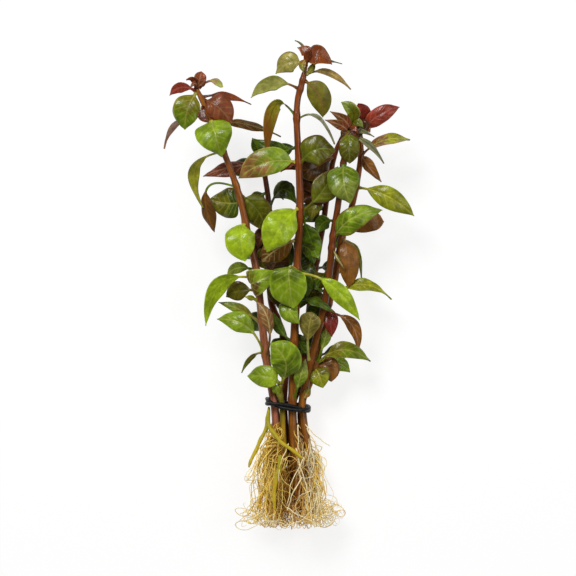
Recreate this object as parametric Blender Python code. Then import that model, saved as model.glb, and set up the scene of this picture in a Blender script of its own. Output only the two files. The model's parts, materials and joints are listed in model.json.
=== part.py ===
"""A tied bunch of ludwigia cuttings, lying on its side.

+Y runs from the roots to the shoot tips, +X to the right and +Z up from the surface that the bunch
lies on. Every length in the tables is in millimetres, and MM turns it into metres.
"""
import math
from collections import namedtuple

import bpy
from mathutils import Vector

MM = 0.001
UP = Vector((0, 0, 1))
ALONG_BUNCH = Vector((0, 1, 0))
GAP = 0.3                     # left between pieces that touch

STEM_SIDES = 6
STEM_STATION = 17.0           # the longest stretch of a stem between two rings
SWELLING = 0.25               # how far a stem swells where leaves grow
SWELLING_REACH = 4.0
FUSED_DEPTH = 0.4             # where a fused leaf starts, as a share of its stem's radius

PETIOLE_HALF_WIDTH = 0.6
PETIOLE_HALF_THICKNESS = 0.5
BLADE_HALF_THICKNESS = 0.35
SHOULDER_THICKNESS = 0.85     # of the midrib's thickness, half way to the edge
FLOOR_SOFTNESS = 0.8          # how gently a leaf bends where it meets the surface

TIE_CENTRE = (0.0, -59.0, 15.4)
TIE_HALF_WIDTH = 11.0
TIE_HALF_DEPTH = 8.1
TIE_SQUARENESS = 3.0          # 2 is an ellipse
TIE_STRAND_RADIUS = 1.05
TIE_STRAND_OFFSET = 1.17      # of each strand from the middle of the pair
TIE_SLOPE = -0.24             # across the bunch
TIE_LEAN = -0.10              # from the back to the front
TIE_TURNS = 2
TIE_TWISTS = 1.5              # turns of the strands about each other, each time round the stems
TIE_CROSSING = math.pi / 4    # pushes the strands' crossings to the front and the back
TIE_STATIONS = 44
TIE_SIDES = 6

ROOT_AXIS_X = 0.8
ROOT_AXIS_Z = 15.6
ROOT_TIP = -112.0             # of the shortest strand
ROOT_TIP_SPREAD = 9.0         # between it and the longest
ROOT_TIP_RHYTHM = 2.4         # radians from one column to the next, so that neighbours differ
ROOT_RIDGE = 0.9              # how far a strand stands out of its tuft
ROOT_SPLAY = 1.5              # how far the tips spread past the last row
STRAND_HALF_WIDTH = 0.6       # of a strand where it parts, in columns

RUNNER_RADIUS = 0.8
RUNNER_SIDES = 6
RUNNER_STATIONS = 9

Leaf = namedtuple("Leaf", "at shoulder tip width face twist cup form colour", defaults=[None])
LeafGrid = namedtuple("LeafGrid", "lengthwise crosswise")
Form = namedtuple("Form", "petiole widest fullness")
Stem = namedtuple("Stem", "foot_radius top_radius colour points")
RootRow = namedtuple("RootRow", "y half_width half_depth wall")
Tuft = namedtuple("Tuft", "first last strands")

# Where a blade is cut into rings, along it and across it.
LEAF_GRID = LeafGrid((0.06, 0.18, 0.37, 0.58, 0.78, 0.93), (-0.5, 0.5))
SMALL_LEAF_GRID = LeafGrid((0.15, 0.45, 0.8), (0.0,))

COLOURS = {
    "lime": (0.34, 0.50, 0.010),
    "green": (0.14, 0.25, 0.010),
    "dark": (0.045, 0.075, 0.010),
    "olive": (0.16, 0.15, 0.020),
    "brown": (0.14, 0.050, 0.015),
    "maroon": (0.12, 0.020, 0.015),
    "crimson": (0.20, 0.015, 0.015),
    "stem_red": (0.16, 0.045, 0.018),
    "stem_green": (0.22, 0.20, 0.030),
    "root": (0.62, 0.47, 0.19),
    "runner": (0.52, 0.50, 0.06),
    "rubber": (0.012, 0.012, 0.013),
}
ROUGHNESS = {"rubber": 0.6, "root": 0.7}
LEAF_ROUGHNESS = 0.38

# The root tufts' outside, from the tie to where the strands part: height, half width and depth, wall.
ROOT_ROWS = [
    RootRow(-68.0, 11.3, 8.6, 1.2), RootRow(-80.0, 15.2, 12.4, 1.8),
    RootRow(-94.0, 19.3, 16.2, 2.2), RootRow(-107.0, 21.0, 17.4, 2.2),
]

# Leaf outlines: the stalk's share of the length, where the blade is widest, and how pointed it is.
FORMS = {
    "heart": Form(0.06, 0.38, 1.00),
    "broad": Form(0.07, 0.48, 1.15),
    "oval": Form(0.14, 0.46, 1.20),
    "lance": Form(0.18, 0.44, 1.50),
    "stalked": Form(0.30, 0.48, 1.25),
    "spoon": Form(0.40, 0.62, 1.10),
    "small": Form(0.10, 0.42, 1.25),
}

STEMS = {
    "left_stem": Stem(2.1, 1.2, "stem_red", [
        (-5.4, -93.5, 13.0), (-6.5, -62.0, 15.5), (-10.8, -37.0, 18.5), (-12.5, -22.5, 21.0),
        (-14.2, -5.5, 24.5), (-16.2, 10.5, 27.5), (-18.5, 20.5, 29.0), (-21.0, 31.5, 31.0),
        (-24.0, 45.0, 33.0), (-29.0, 60.0, 35.0), (-32.0, 67.5, 36.0), (-37.5, 81.5, 37.0),
        (-42.5, 93.5, 38.0), (-45.0, 98.5, 38.0), (-44.0, 105.0, 38.5)]),
    "middle_stem": Stem(2.2, 1.4, "stem_red", [
        (5.5, -112.0, 14.0), (2.7, -74.5, 17.5), (2.2, -57.5, 18.5), (3.0, -30.0, 22.0),
        (4.0, -6.0, 27.0), (4.5, 10.5, 30.0), (6.0, 39.0, 36.0), (5.1, 66.5, 40.0),
        (4.3, 84.5, 42.0), (4.9, 94.0, 42.5), (6.5, 100.0, 43.0), (10.0, 114.0, 44.0)]),
    "right_stem": Stem(2.0, 1.3, "stem_red", [
        (14.5, -99.5, 15.0), (10.3, -81.5, 16.0), (7.2, -60.0, 16.8), (9.0, -48.0, 17.5),
        (12.8, -31.5, 20.0), (18.5, -7.0, 25.5), (21.0, 11.0, 28.5), (22.5, 26.0, 31.0),
        (25.0, 41.5, 33.0), (27.5, 61.5, 36.0), (29.5, 76.5, 39.0), (31.0, 83.0, 40.0)]),
    "outer_stem": Stem(1.9, 1.3, "stem_red", [
        (11.5, -95.0, 9.3), (8.2, -78.0, 12.2), (6.7, -60.0, 12.6), (12.0, -45.0, 14.0),
        (16.0, -30.0, 15.5), (20.0, -10.0, 18.5), (23.0, 1.0, 20.2), (26.8, 24.0, 23.6),
        (32.8, 44.0, 26.0), (36.5, 66.5, 28.5), (36.2, 76.0, 29.5), (37.0, 84.0, 30.0)]),
    "back_right_stem": Stem(1.9, 1.2, "stem_red", [
        (5.5, -92.0, 9.0), (3.5, -75.0, 10.9), (2.5, -58.5, 12.2), (6.0, -48.5, 12.5),
        (9.5, -23.5, 13.5), (12.0, -0.5, 15.0), (14.5, 14.5, 16.5), (17.9, 33.5, 18.5),
        (21.0, 56.5, 21.5), (24.8, 71.0, 24.5), (28.5, 80.0, 26.5)]),
    "back_left_stem": Stem(1.9, 1.2, "stem_red", [
        (1.0, -88.0, 10.0), (-1.0, -75.0, 11.5), (-2.2, -58.5, 12.6), (-1.0, -35.0, 12.0),
        (-2.5, -23.5, 12.0), (-8.0, -9.0, 12.0), (-9.0, -2.0, 12.0), (-10.0, 14.0, 12.3),
        (-9.8, 42.5, 14.0), (-12.5, 64.0, 17.0), (-11.5, 71.0, 18.0)]),
    "short_stem": Stem(1.6, 1.3, "stem_green", [
        (-1.7, -86.0, 15.5), (-2.5, -71.0, 17.5), (-3.0, -58.5, 18.6), (-4.0, -53.5, 20.0),
        (-4.0, -47.0, 22.0)]),
}

# Leaves that are pieces of their own, by the stem that they grow from. "at" is the height on the
# stem, the midrib passes the shoulder half way, and face turns the blade about it: 0 shows its
# upper side from above, 90 its edge and 180 its underside.
LEAVES = {
    "left_stem": [
        Leaf(97.5, (-50.7, 88.5, 41), (-51, 78.7, 37), 13.5, 0, 0, -0.2, "broad", "green"),
        Leaf(93, (-34.5, 89.5, 42), (-28, 81.5, 39.7), 13, 180, 0, 0.2, "broad", "brown"),
        Leaf(83.5, (-36, 76, 46.5), (-33, 65, 42.5), 18.5, 0, 0, -0.2, "heart", "lime"),
        Leaf(82, (-22.5, 82, 34.5), (-3.5, 77, 32), 8, -50, 0, 0.2, "lance", "olive"),
        Leaf(68, (-47, 62, 38), (-43, 40.5, 32), 8, 50, 0, 0.2, "lance", "green"),
        Leaf(51, (-41.5, 49.5, 35), (-37.2, 28, 28), 9, 130, 90, 0.2, "lance", "brown"),
        Leaf(48.5, (-31.5, 42, 28), (-39.5, 42.5, 25), 17, 0, 0, -0.2, "oval", "olive"),
        Leaf(47.5, (-15.5, 41.5, 28), (-14, 27, 24), 16, 0, 0, -0.2, "oval", "dark"),
        Leaf(32.5, (-23.3, 25, 38), (-22.3, 13.5, 36), 15.5, 0, 0, -0.2, "heart", "lime"),
        Leaf(5, (-33.7, 1.5, 31), (-41.3, -19, 24), 9.5, 30, 0, 0.15, "lance", "green"),
        Leaf(4.5, (-13, 3.8, 36), (-3.8, 8.5, 35.5), 15, 0, 0, -0.15, "heart", "green"),
        Leaf(-32, (-21, -19, 29), (-35.5, -16, 24), 11, 0, 0, -0.2, "stalked", "lime"),
        Leaf(-34, (-9.2, -18.5, 31), (-18, -4.8, 30), 7.5, 180, 0, 0.2, "lance", "brown"),
    ],
    "middle_stem": [
        Leaf(112, (14.2, 114.7, 49), (25.2, 111.3, 46), 10, 20, 0, 0.25, "oval", "maroon"),
        Leaf(110, (1, 112, 46), (-6, 106.3, 42), 12, 0, 0, -0.2, "broad", "olive"),
        Leaf(98.5, (-7.5, 101.7, 43), (-18.5, 95, 38), 9, 30, 0, 0.2, "lance", "lime"),
        Leaf(103, (15.5, 94.8, 44), (17, 85, 40), 12, 180, 0, 0.2, "broad", "olive"),
        Leaf(85, (-5.5, 91.3, 44), (-10.5, 69, 37), 8, 48, 0, 0.2, "lance", "brown"),
        Leaf(62.5, (-11.5, 62, 44), (-24.5, 54.5, 39), 14, 0, 0, -0.15, "broad", "green"),
        Leaf(62, (13.2, 68.5, 45), (22.5, 70, 41), 15.5, 0, 0, -0.2, "broad", "dark"),
        Leaf(40, (-4.5, 31, 45), (-10, 18, 42), 17, 0, 0, -0.25, "broad", "lime"),
        Leaf(38.5, (15, 46.5, 38), (21.5, 60, 37), 12, -20, 0, -0.15, "stalked", "green"),
        Leaf(36, (11.5, 24, 28), (15.5, 14.5, 26), 10, 0, 0, -0.2, "oval", "dark"),
        Leaf(7, (0, 0.3, 45), (-8.5, 1.2, 41), 20, 0, 0, -0.2, "heart", "green"),
        Leaf(7.5, (22.5, 0, 37), (35.7, -16, 32), 10.5, 0, 0, -0.2, "stalked", "lime"),
    ],
    "right_stem": [
        Leaf(76, (30.5, 69, 44), (31, 61.5, 42), 10, 0, 0, -0.2, "heart", "green"),
        Leaf(62, (27.7, 52, 43), (31, 42, 40), 16, 0, 0, -0.2, "heart", "green"),
        Leaf(26, (33.5, 34.5, 38.5), (47, 38.8, 34), 12.5, 0, 0, -0.2, "heart", "green"),
        Leaf(-37, (10.5, -23.5, 28), (13.5, -12, 30), 11.5, 0, 0, -0.15, "spoon", "olive"),
    ],
    "outer_stem": [
        Leaf(79, (46, 85.5, 36), (55.7, 90.5, 33), 9.5, 0, 0, -0.2, "broad", "crimson"),
        Leaf(67, (48, 73.7, 34), (61, 74, 30), 8, 45, 0, 0.2, "lance", "olive"),
        Leaf(50.5, (49, 47, 34), (63, 36, 30), 12, 0, 0, -0.2, "broad", "lime"),
        Leaf(25, (30, 15.5, 29), (32, 3.5, 26), 11, 180, 0, 0.2, "broad", "brown"),
        Leaf(-3, (38.5, 1.5, 27), (52, -5.5, 22), 7.5, 40, 0, 0.2, "lance", "green"),
        Leaf(-12, (31.5, -18, 23), (35.5, -32.5, 18), 8, 160, 0, 0.2, "lance", "brown"),
        Leaf(-37.5, (27.5, -31, 24), (41.5, -37, 18), 10, 30, 0, 0.2, "lance", "green"),
        Leaf(-34, (24, -32.5, 8), (33, -33.5, -2), 8, 0, 0, -0.1, "oval", "dark"),
    ],
    "back_right_stem": [
        Leaf(57, (13.5, 54.5, 30), (5, 51.5, 29), 16, 0, 0, -0.2, "broad", "maroon"),
        Leaf(60, (28, 57, 8), (36, 52, -2), 11, 0, 0, -0.1, "oval", "dark"),
        Leaf(10, (23, 11, 8), (32, 11, -2), 8, 0, 0, -0.1, "oval", "dark"),
    ],
    "back_left_stem": [
        Leaf(62, (-28, 60.5, 26), (-42.5, 56, 24), 9, 150, 0, 0.2, "lance", "maroon"),
        Leaf(58, (-21, 61, 6), (-32, 60, -2), 10, 0, 0, -0.1, "oval", "dark"),
        Leaf(20, (-19, 20, 6), (-28, 19, -2), 11, 0, 0, -0.1, "oval", "dark"),
        Leaf(-15, (-15, -17, 6), (-25, -18, -2), 10, 0, 0, -0.1, "oval", "dark"),
    ],
    "short_stem": [
        Leaf(-47.5, (-10.8, -44.5, 27), (-20, -45.5, 22), 11.5, 0, 0, -0.15, "broad", "lime"),
        Leaf(-48, (-1.5, -36, 32), (-8, -27.8, 35), 17, 0, 0, -0.2, "broad", "green"),
    ],
}

# Small leaves, shoots and hidden leaves, one solid with the stem that they grow from and of its
# colour.
SMALL_LEAVES = {
    "left_stem": [
        Leaf(103, (-43.8, 105, 40), (-43, 108.3, 40), 6, 0, 0, 0.2, "small"),
        Leaf(98, (-53, 99.5, 38), (-59.3, 96, 34), 7.5, 20, 0, 0.2, "small"),
        Leaf(99, (-38, 101.8, 39), (-32.5, 100, 37), 4, 20, 0, 0.2, "small"),
        Leaf(85, (-55, 83, 31), (-62, 69.5, 27), 6, 75, 0, 0.2, "lance"),
        Leaf(95, (-31, 95, 38), (-18.5, 91.5, 36), 5, 20, 0, 0.2, "lance"),
        Leaf(91, (-43, 87, 42), (-43, 82.5, 42), 6, 0, 0, 0.2, "small"),
        Leaf(9, (-25, 10.5, 25), (-31, 6.5, 22), 7, 0, 0, -0.1, "oval"),
        Leaf(-1, (-25, -1.5, 25), (-31, -4.5, 22), 10, 0, 0, -0.1, "oval"),
        Leaf(-17, (-23.5, -11, 25), (-34.5, -7.2, 22), 5, 0, 0, 0.1, "lance"),
        Leaf(-37, (-17.5, -34, 18), (-23.5, -43, 14), 5, 50, 0, 0.2, "lance"),
    ],
    "middle_stem": [
        Leaf(112.5, (6.3, 120.8, 46), (3.6, 123.8, 46), 3, 30, 0, 0.2, "small"),
        Leaf(112, (8.5, 118, 46), (4.4, 120.5, 45), 5.5, 0, 0, 0.2, "small"),
        Leaf(106, (21, 105.5, 42), (31.5, 99, 38), 6, 40, 0, 0.2, "lance"),
        Leaf(112, (7.5, 110.8, 48), (7.2, 106.8, 47), 4.5, 0, 0, 0.2, "small"),
        Leaf(85, (15, 84, 42), (23, 71.5, 46), 5, 60, 0, 0.2, "lance"),
        Leaf(-6, (14, -7, 31), (24.5, -14, 29), 8, 50, 0, 0.2, "lance"),
        Leaf(-4, (0, -11, 34), (5.5, -17.5, 33), 10, 0, 0, -0.2, "oval"),
        Leaf(-8, (-5.5, -16, 23), (-7, -27, 20), 5.5, 0, 0, 0.1, "lance"),
        Leaf(-54, (6.5, -47, 25), (5.5, -36.5, 26), 5.5, 0, 0, 0.1, "lance"),
    ],
    "right_stem": [
        Leaf(82, (31.3, 87.5, 45), (26.2, 92.3, 44), 9.5, 20, 40, 0.2, "broad"),
        Leaf(75, (39, 70, 40), (48, 61.5, 37), 4, 30, 0, 0.1, "lance"),
        Leaf(20, (24.5, 15, 34), (28, 10, 34), 4, 0, 0, 0.1, "lance"),
    ],
    "outer_stem": [
        Leaf(82, (36.2, 87.5, 35), (35, 92, 36), 9, 0, 0, 0.1, "small"),
        Leaf(75, (38, 77.5, 34), (43, 75, 36), 4, 0, 0, 0.1, "small"),
        Leaf(66, (41, 61.5, 33), (47, 53, 29), 8, 140, 0, 0.2, "lance"),
        Leaf(29, (40, 33, 27), (48, 31, 24), 9, 0, 0, 0.1, "oval"),
        Leaf(24, (34, 18, 21), (37, 4, 17), 4, 30, 0, 0.1, "lance"),
        Leaf(-9.5, (22, -17.5, 24), (21, -24.5, 23), 8, 0, 0, -0.1, "small"),
        Leaf(-38, (18.5, -27.5, 19), (19.5, -20.5, 19), 5, 0, 0, 0.1, "stalked"),
        Leaf(-45, (23, -38.5, 17), (31.5, -42.5, 13.5), 8, 0, 0, -0.1, "oval"),
        Leaf(-48, (18.5, -43.5, 15), (24.5, -41.5, 11), 9, 0, 0, -0.1, "small"),
        Leaf(-52, (15, -48, 17), (20.5, -48.5, 14), 7, 0, 0, -0.1, "small"),
    ],
    "back_right_stem": [
        Leaf(79, (25, 84, 30), (21.5, 88, 33), 5, 0, 0, 0.2, "small"),
        Leaf(77, (22, 82, 30), (17, 84, 30), 5, 0, 0, 0.2, "small"),
        Leaf(45, (14, 42, 25), (11.5, 33.5, 24), 8, 0, 0, -0.1, "oval"),
        Leaf(14, (10, 8, 21), (9.5, -6, 20), 9, 0, 0, -0.1, "oval"),
    ],
    "back_left_stem": [
        Leaf(66, (-15.5, 71, 20), (-18, 75.5, 20), 6, 0, 0, 0.1, "small"),
        Leaf(68, (-3, 69.5, 21), (3, 71, 20), 7, 0, 0, 0.1, "oval"),
        Leaf(61, (-3, 62.5, 24), (4.5, 59, 24), 6, 0, 0, 0.1, "lance"),
        Leaf(41, (-2.5, 49.5, 23), (4.5, 42, 21), 10, 0, 0, -0.1, "oval"),
        Leaf(6, (-5, 15, 21), (0, 21, 22), 13, 180, 0, -0.1, "oval"),
        Leaf(9, (-13.5, 14, 17), (-14, 20, 18), 6, 0, 0, 0.1, "small"),
    ],
    "short_stem": [
        Leaf(-54, (-6, -51, 24), (-6.5, -48, 24), 4, 0, 0, 0.1, "small"),
    ],
}

# The root tufts, by the angles between which each lies round the stems: 90 degrees is on top.
ROOTS = {
    "right_roots": Tuft(-36.0, 60.0, 7),
    "front_roots": Tuft(68.0, 112.0, 4),
    "left_roots": Tuft(120.0, 216.0, 7),
    "floor_roots": Tuft(224.0, 316.0, 7),
}

RUNNERS = {
    "long_runner": [
        (-9.6, -63.5, 18.5), (-9.6, -70.0, 24.0), (-4.5, -76.0, 28.5), (2.0, -81.0, 30.8),
        (7.5, -85.0, 31.8)],
    "side_runner": [
        (-11.8, -68.0, 20.5), (-14.0, -73.0, 22.0), (-17.5, -81.0, 24.0), (-20.0, -90.0, 26.0)],
}


def clear_scene():
    for obj in list(bpy.data.objects):
        bpy.data.objects.remove(obj, do_unlink=True)


def material(name):
    """One plain material for each colour."""
    made = bpy.data.materials.get(name)
    if made is None:
        made = bpy.data.materials.new(name)
        made.use_nodes = True
        shader = made.node_tree.nodes["Principled BSDF"]
        shader.inputs["Base Color"].default_value = (*COLOURS[name], 1.0)
        shader.inputs["Roughness"].default_value = ROUGHNESS.get(name, LEAF_ROUGHNESS)
    return made


def add_object(name, points, faces, colour):
    """An object from points in millimetres, faces wound outward."""
    mesh = bpy.data.meshes.new(name)
    mesh.from_pydata([Vector(point) * MM for point in points], [], faces)
    mesh.materials.append(material(colour))
    mesh.shade_smooth()
    obj = bpy.data.objects.new(name, mesh)
    bpy.context.collection.objects.link(obj)
    return obj


def curve_point(points, y):
    """Where the smooth curve through points, listed by rising y, passes height y."""
    last = len(points) - 1
    index = 0
    while index < last - 1 and y > points[index + 1][1]:
        index += 1
    low, high = Vector(points[index]), Vector(points[index + 1])
    before = Vector(points[max(index - 1, 0)])
    after = Vector(points[min(index + 2, last)])
    span = high.y - low.y
    t = (y - low.y) / span
    low_slope = (high - before) * (span / (high.y - before.y))
    high_slope = (after - low) * (span / (after.y - low.y))
    point = low * (2 * t**3 - 3 * t**2 + 1)
    point += low_slope * (t**3 - 2 * t**2 + t)
    point += high * (3 * t**2 - 2 * t**3)
    point += high_slope * (t**3 - t**2)
    point.y = y
    return point


def stem_radius(stem, y):
    """A stem's radius at height y, without its swellings."""
    foot, top = stem.points[0][1], stem.points[-1][1]
    share = (y - foot) / (top - foot)
    return stem.foot_radius + (stem.top_radius - stem.foot_radius) * share**2


def rings_to_faces(rings, sides):
    """Faces of a closed tube whose rings of points are numbered one after the other."""
    faces = [tuple(reversed(range(sides)))]
    for ring in range(rings - 1):
        for side in range(sides):
            here = ring * sides + side
            beside = ring * sides + (side + 1) % sides
            faces.append((here, beside, beside + sides, here + sides))
    start = (rings - 1) * sides
    faces.append(tuple(range(start, start + sides)))
    return faces


def tube_points(centres, radii, sides):
    """Rings of points around a line of centres that runs mainly along Y."""
    points = []
    for index, centre in enumerate(centres):
        ahead = centres[min(index + 1, len(centres) - 1)]
        behind = centres[max(index - 1, 0)]
        along = (ahead - behind).normalized()
        across = along.cross(UP).normalized()
        up = across.cross(along)
        for side in range(sides):
            angle = -2 * math.pi * side / sides
            points.append(centre + (across * math.cos(angle) + up * math.sin(angle)) * radii[index])
    return points


def join(obj, grown):
    """Unite a leaf's solid with its stem's, and keep only the stem."""
    modifier = obj.modifiers.new("union", "BOOLEAN")
    modifier.operation = "UNION"
    modifier.object = grown
    evaluated = obj.evaluated_get(bpy.context.evaluated_depsgraph_get())
    united = bpy.data.meshes.new_from_object(evaluated)
    obj.modifiers.clear()
    obj.data = united
    bpy.data.objects.remove(grown, do_unlink=True)


def leaf_start(stem, leaf, fused):
    """Where a leaf's stalk leaves its stem: inside it when the two are one solid."""
    centre = curve_point(stem.points, leaf.at)
    axis = (curve_point(stem.points, leaf.at + 1) - centre).normalized()
    outward = Vector(leaf.shoulder) - centre
    outward = (outward - axis * outward.dot(axis)).normalized()
    radius = stem_radius(stem, leaf.at)
    if fused:
        return centre + outward * radius * FUSED_DEPTH
    return centre + outward * (radius + SWELLING + GAP + PETIOLE_HALF_THICKNESS)


def blade_width(form, along):
    """The blade's width at a share of its length, as a share of its widest."""
    rise = form.fullness * form.widest
    fall = form.fullness * (1 - form.widest)
    return (along / form.widest) ** rise * ((1 - along) / (1 - form.widest)) ** fall


def above_floor(height, half_thickness):
    """Bend a leaf gently so that its underside stays on or above the surface."""
    room = (height - half_thickness) / FLOOR_SOFTNESS
    return half_thickness + FLOOR_SOFTNESS * (max(room, 0.0) + math.log1p(math.exp(-abs(room))))


def leaf_shape(stem, leaf, grid, fused):
    """A thin closed blade on a short stalk, along a midrib that bends over its shoulder."""
    form = FORMS[leaf.form]
    start = leaf_start(stem, leaf, fused)
    shoulder, tip = Vector(leaf.shoulder), Vector(leaf.tip)
    bend = shoulder * 2 - (start + tip) / 2
    chord = (tip - start).normalized()
    level = chord.cross(UP).normalized()
    upright = level.cross(chord)
    stations = [0.0, form.petiole]
    stations += [form.petiole + (1 - form.petiole) * share for share in grid.lengthwise]
    rising = list(grid.crosswise)
    ring = [(-1.0, 0)] + [(share, 1) for share in rising]
    ring += [(1.0, 0)] + [(share, -1) for share in reversed(rising)]
    points = []
    for t in stations:
        middle = start * (1 - t) ** 2 + bend * 2 * t * (1 - t) + tip * t**2
        along = ((bend - start) * (1 - t) + (tip - bend) * t).normalized()
        turn = math.radians(leaf.face + leaf.twist * (t - 0.5))
        side = level * math.cos(turn) + upright * math.sin(turn)
        side = (side - along * side.dot(along)).normalized()
        normal = side.cross(along)
        half_width, half_thickness, cup = PETIOLE_HALF_WIDTH, PETIOLE_HALF_THICKNESS, 0.0
        if t > form.petiole:
            share_along = (t - form.petiole) / (1 - form.petiole)
            half_width = max(half_width, leaf.width / 2 * blade_width(form, share_along))
            half_thickness = BLADE_HALF_THICKNESS
            cup = leaf.cup * half_width
        for share, face in ring:
            place = middle + side * (share * half_width) + normal * (cup * share**2)
            place.z = above_floor(place.z, half_thickness)
            thickness = half_thickness * (SHOULDER_THICKNESS if share else 1.0)
            points.append(place + normal * (thickness * face))
    sides = len(ring)
    faces = rings_to_faces(len(stations), sides)[:-1]
    last = len(points) - sides
    faces += [(last + side, last + (side + 1) % sides, len(points)) for side in range(sides)]
    points.append(Vector((tip.x, tip.y, above_floor(tip.z, 0.0))))
    return points, faces


def build_stem(name):
    """A stem with its small leaves, joined into one solid."""
    stem = STEMS[name]
    heights = [stem.points[0][1]]
    for point in stem.points[1:]:
        low, span = heights[-1], point[1] - heights[-1]
        parts = math.ceil(span / STEM_STATION)
        heights += [low + span * part / parts for part in range(1, parts + 1)]
    growth = [leaf.at for leaf in LEAVES[name] + SMALL_LEAVES[name]]
    centres, radii = [], []
    for y in heights:
        swells = min(abs(y - at) for at in growth) < SWELLING_REACH
        centres.append(curve_point(stem.points, y))
        radii.append(stem_radius(stem, y) + SWELLING * swells)
    points = tube_points(centres, radii, STEM_SIDES)
    obj = add_object(name, points, rings_to_faces(len(heights), STEM_SIDES), stem.colour)
    for leaf in SMALL_LEAVES[name]:
        points, faces = leaf_shape(stem, leaf, SMALL_LEAF_GRID, fused=True)
        join(obj, add_object("small_leaf", points, faces, stem.colour))
    return obj


def build_leaves(stem_name):
    """The leaves of one stem that are pieces of their own."""
    made = []
    for number, leaf in enumerate(LEAVES[stem_name], start=1):
        points, faces = leaf_shape(STEMS[stem_name], leaf, LEAF_GRID, fused=False)
        name = stem_name.replace("stem", "leaf") + f"_{number}"
        made.append(add_object(name, points, faces, leaf.colour))
    return made


def tie_strand(angle):
    """A point on the middle line of the rubber, at an angle round the stems."""
    power = 2 / TIE_SQUARENESS
    cosine, sine = math.cos(angle), math.sin(angle)
    x = math.copysign(abs(cosine) ** power, cosine) * TIE_HALF_WIDTH
    z = math.copysign(abs(sine) ** power, sine) * TIE_HALF_DEPTH
    outward = Vector((cosine * TIE_HALF_DEPTH, 0, sine * TIE_HALF_WIDTH)).normalized()
    twist = TIE_TWISTS * angle + TIE_CROSSING * (1 - math.cos(angle))
    place = Vector((x, TIE_SLOPE * x + TIE_LEAN * z, z))
    offset = ALONG_BUNCH * math.cos(twist) + outward * math.sin(twist)
    return Vector(TIE_CENTRE) + place + offset * TIE_STRAND_OFFSET


def build_tie():
    """A rubber loop doubled round the stems, its two strands twisted about each other."""
    step = 2 * math.pi * TIE_TURNS / TIE_STATIONS
    points, faces = [], []
    for index in range(TIE_STATIONS):
        angle = step * index
        along = (tie_strand(angle + step / 2) - tie_strand(angle - step / 2)).normalized()
        across = along.cross(ALONG_BUNCH).normalized()
        up = across.cross(along)
        for side in range(TIE_SIDES):
            turn = -2 * math.pi * side / TIE_SIDES
            rim = across * math.cos(turn) + up * math.sin(turn)
            points.append(tie_strand(angle) + rim * TIE_STRAND_RADIUS)
    for index in range(TIE_STATIONS):
        for side in range(TIE_SIDES):
            here = index * TIE_SIDES + side
            beside = index * TIE_SIDES + (side + 1) % TIE_SIDES
            ahead = (here + TIE_SIDES) % len(points)
            beside_ahead = (beside + TIE_SIDES) % len(points)
            faces.append((here, beside, beside_ahead, ahead))
    return add_object("tie", points, faces, "rubber")


def root_wall(row, degrees, inset, ridge=0.0):
    """A point of a root tuft: inset is 0 on its outside and 1 on its inside."""
    angle = math.radians(degrees)
    depth = row.wall * inset
    x = ROOT_AXIS_X + (row.half_width - depth + ridge) * math.cos(angle)
    z = ROOT_AXIS_Z + (row.half_depth - depth + ridge) * math.sin(angle)
    return Vector((x, row.y, max(z, depth)))


def build_roots(name):
    """A curved tuft of root strands: one wall above, and separate tapering strands below."""
    tuft = ROOTS[name]
    columns = 2 * tuft.strands + 1
    step = (tuft.last - tuft.first) / (columns - 1)
    *wall_rows, strand_row = ROOT_ROWS
    points, faces = [], []
    for row in wall_rows:
        for inset in (0, 1):
            for column in range(columns):
                ridge = ROOT_RIDGE * (column % 2) * (1 - inset)
                points.append(root_wall(row, tuft.first + step * column, inset, ridge))

    def wall(row, inset, column):
        return (row * 2 + inset) * columns + column

    def patch(row, inset, column):
        beside = column + 1
        return [wall(row, inset, column), wall(row, inset, beside),
                wall(row + 1, inset, beside), wall(row + 1, inset, column)]

    lowest = len(wall_rows) - 1
    for row in range(lowest):
        for column in range(columns - 1):
            faces.append(patch(row, 0, column))
            faces.append(patch(row, 1, column)[::-1])
        for column in (0, columns - 1):
            edge = [wall(row, 0, column), wall(row + 1, 0, column)]
            edge += [wall(row + 1, 1, column), wall(row, 1, column)]
            faces.append(edge if column == 0 else edge[::-1])
    for column in range(columns - 1):
        faces.append([wall(0, 1, column), wall(0, 1, column + 1), wall(0, 0, column + 1), wall(0, 0, column)])

    for middle in range(1, columns, 2):
        corners = [(-1, 0), (0, 0), (1, 0), (1, 1), (0, 1), (-1, 1)]
        upper = [wall(lowest, inset, middle + offset) for offset, inset in corners]
        lower = []
        for offset, inset in corners:
            degrees = tuft.first + (middle + offset * STRAND_HALF_WIDTH) * step
            ridge = ROOT_RIDGE if offset == 0 and inset == 0 else 0.0
            lower.append(len(points))
            points.append(root_wall(strand_row, degrees, inset, ridge))
        length_share = 0.5 + 0.5 * math.sin(ROOT_TIP_RHYTHM * middle + tuft.first)
        tip_row = RootRow(ROOT_TIP - ROOT_TIP_SPREAD * length_share, strand_row.half_width + ROOT_SPLAY,
                          strand_row.half_depth + ROOT_SPLAY, strand_row.wall)
        for side in range(len(corners)):
            beside = (side + 1) % len(corners)
            faces.append([upper[side], upper[beside], lower[beside], lower[side]])
            faces.append([lower[side], lower[beside], len(points)])
        points.append(root_wall(tip_row, tuft.first + middle * step, 0.5))
    return add_object(name, points, faces, "root")


def build_runner(name):
    """A thick pale root that crosses the others."""
    rising = [Vector(point) for point in reversed(RUNNERS[name])]
    low, high = rising[0].y, rising[-1].y
    heights = [low + (high - low) * index / (RUNNER_STATIONS - 1) for index in range(RUNNER_STATIONS)]
    centres = [curve_point(rising, y) for y in heights]
    points = tube_points(centres, [RUNNER_RADIUS] * RUNNER_STATIONS, RUNNER_SIDES)
    return add_object(name, points, rings_to_faces(RUNNER_STATIONS, RUNNER_SIDES), "runner")


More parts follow.
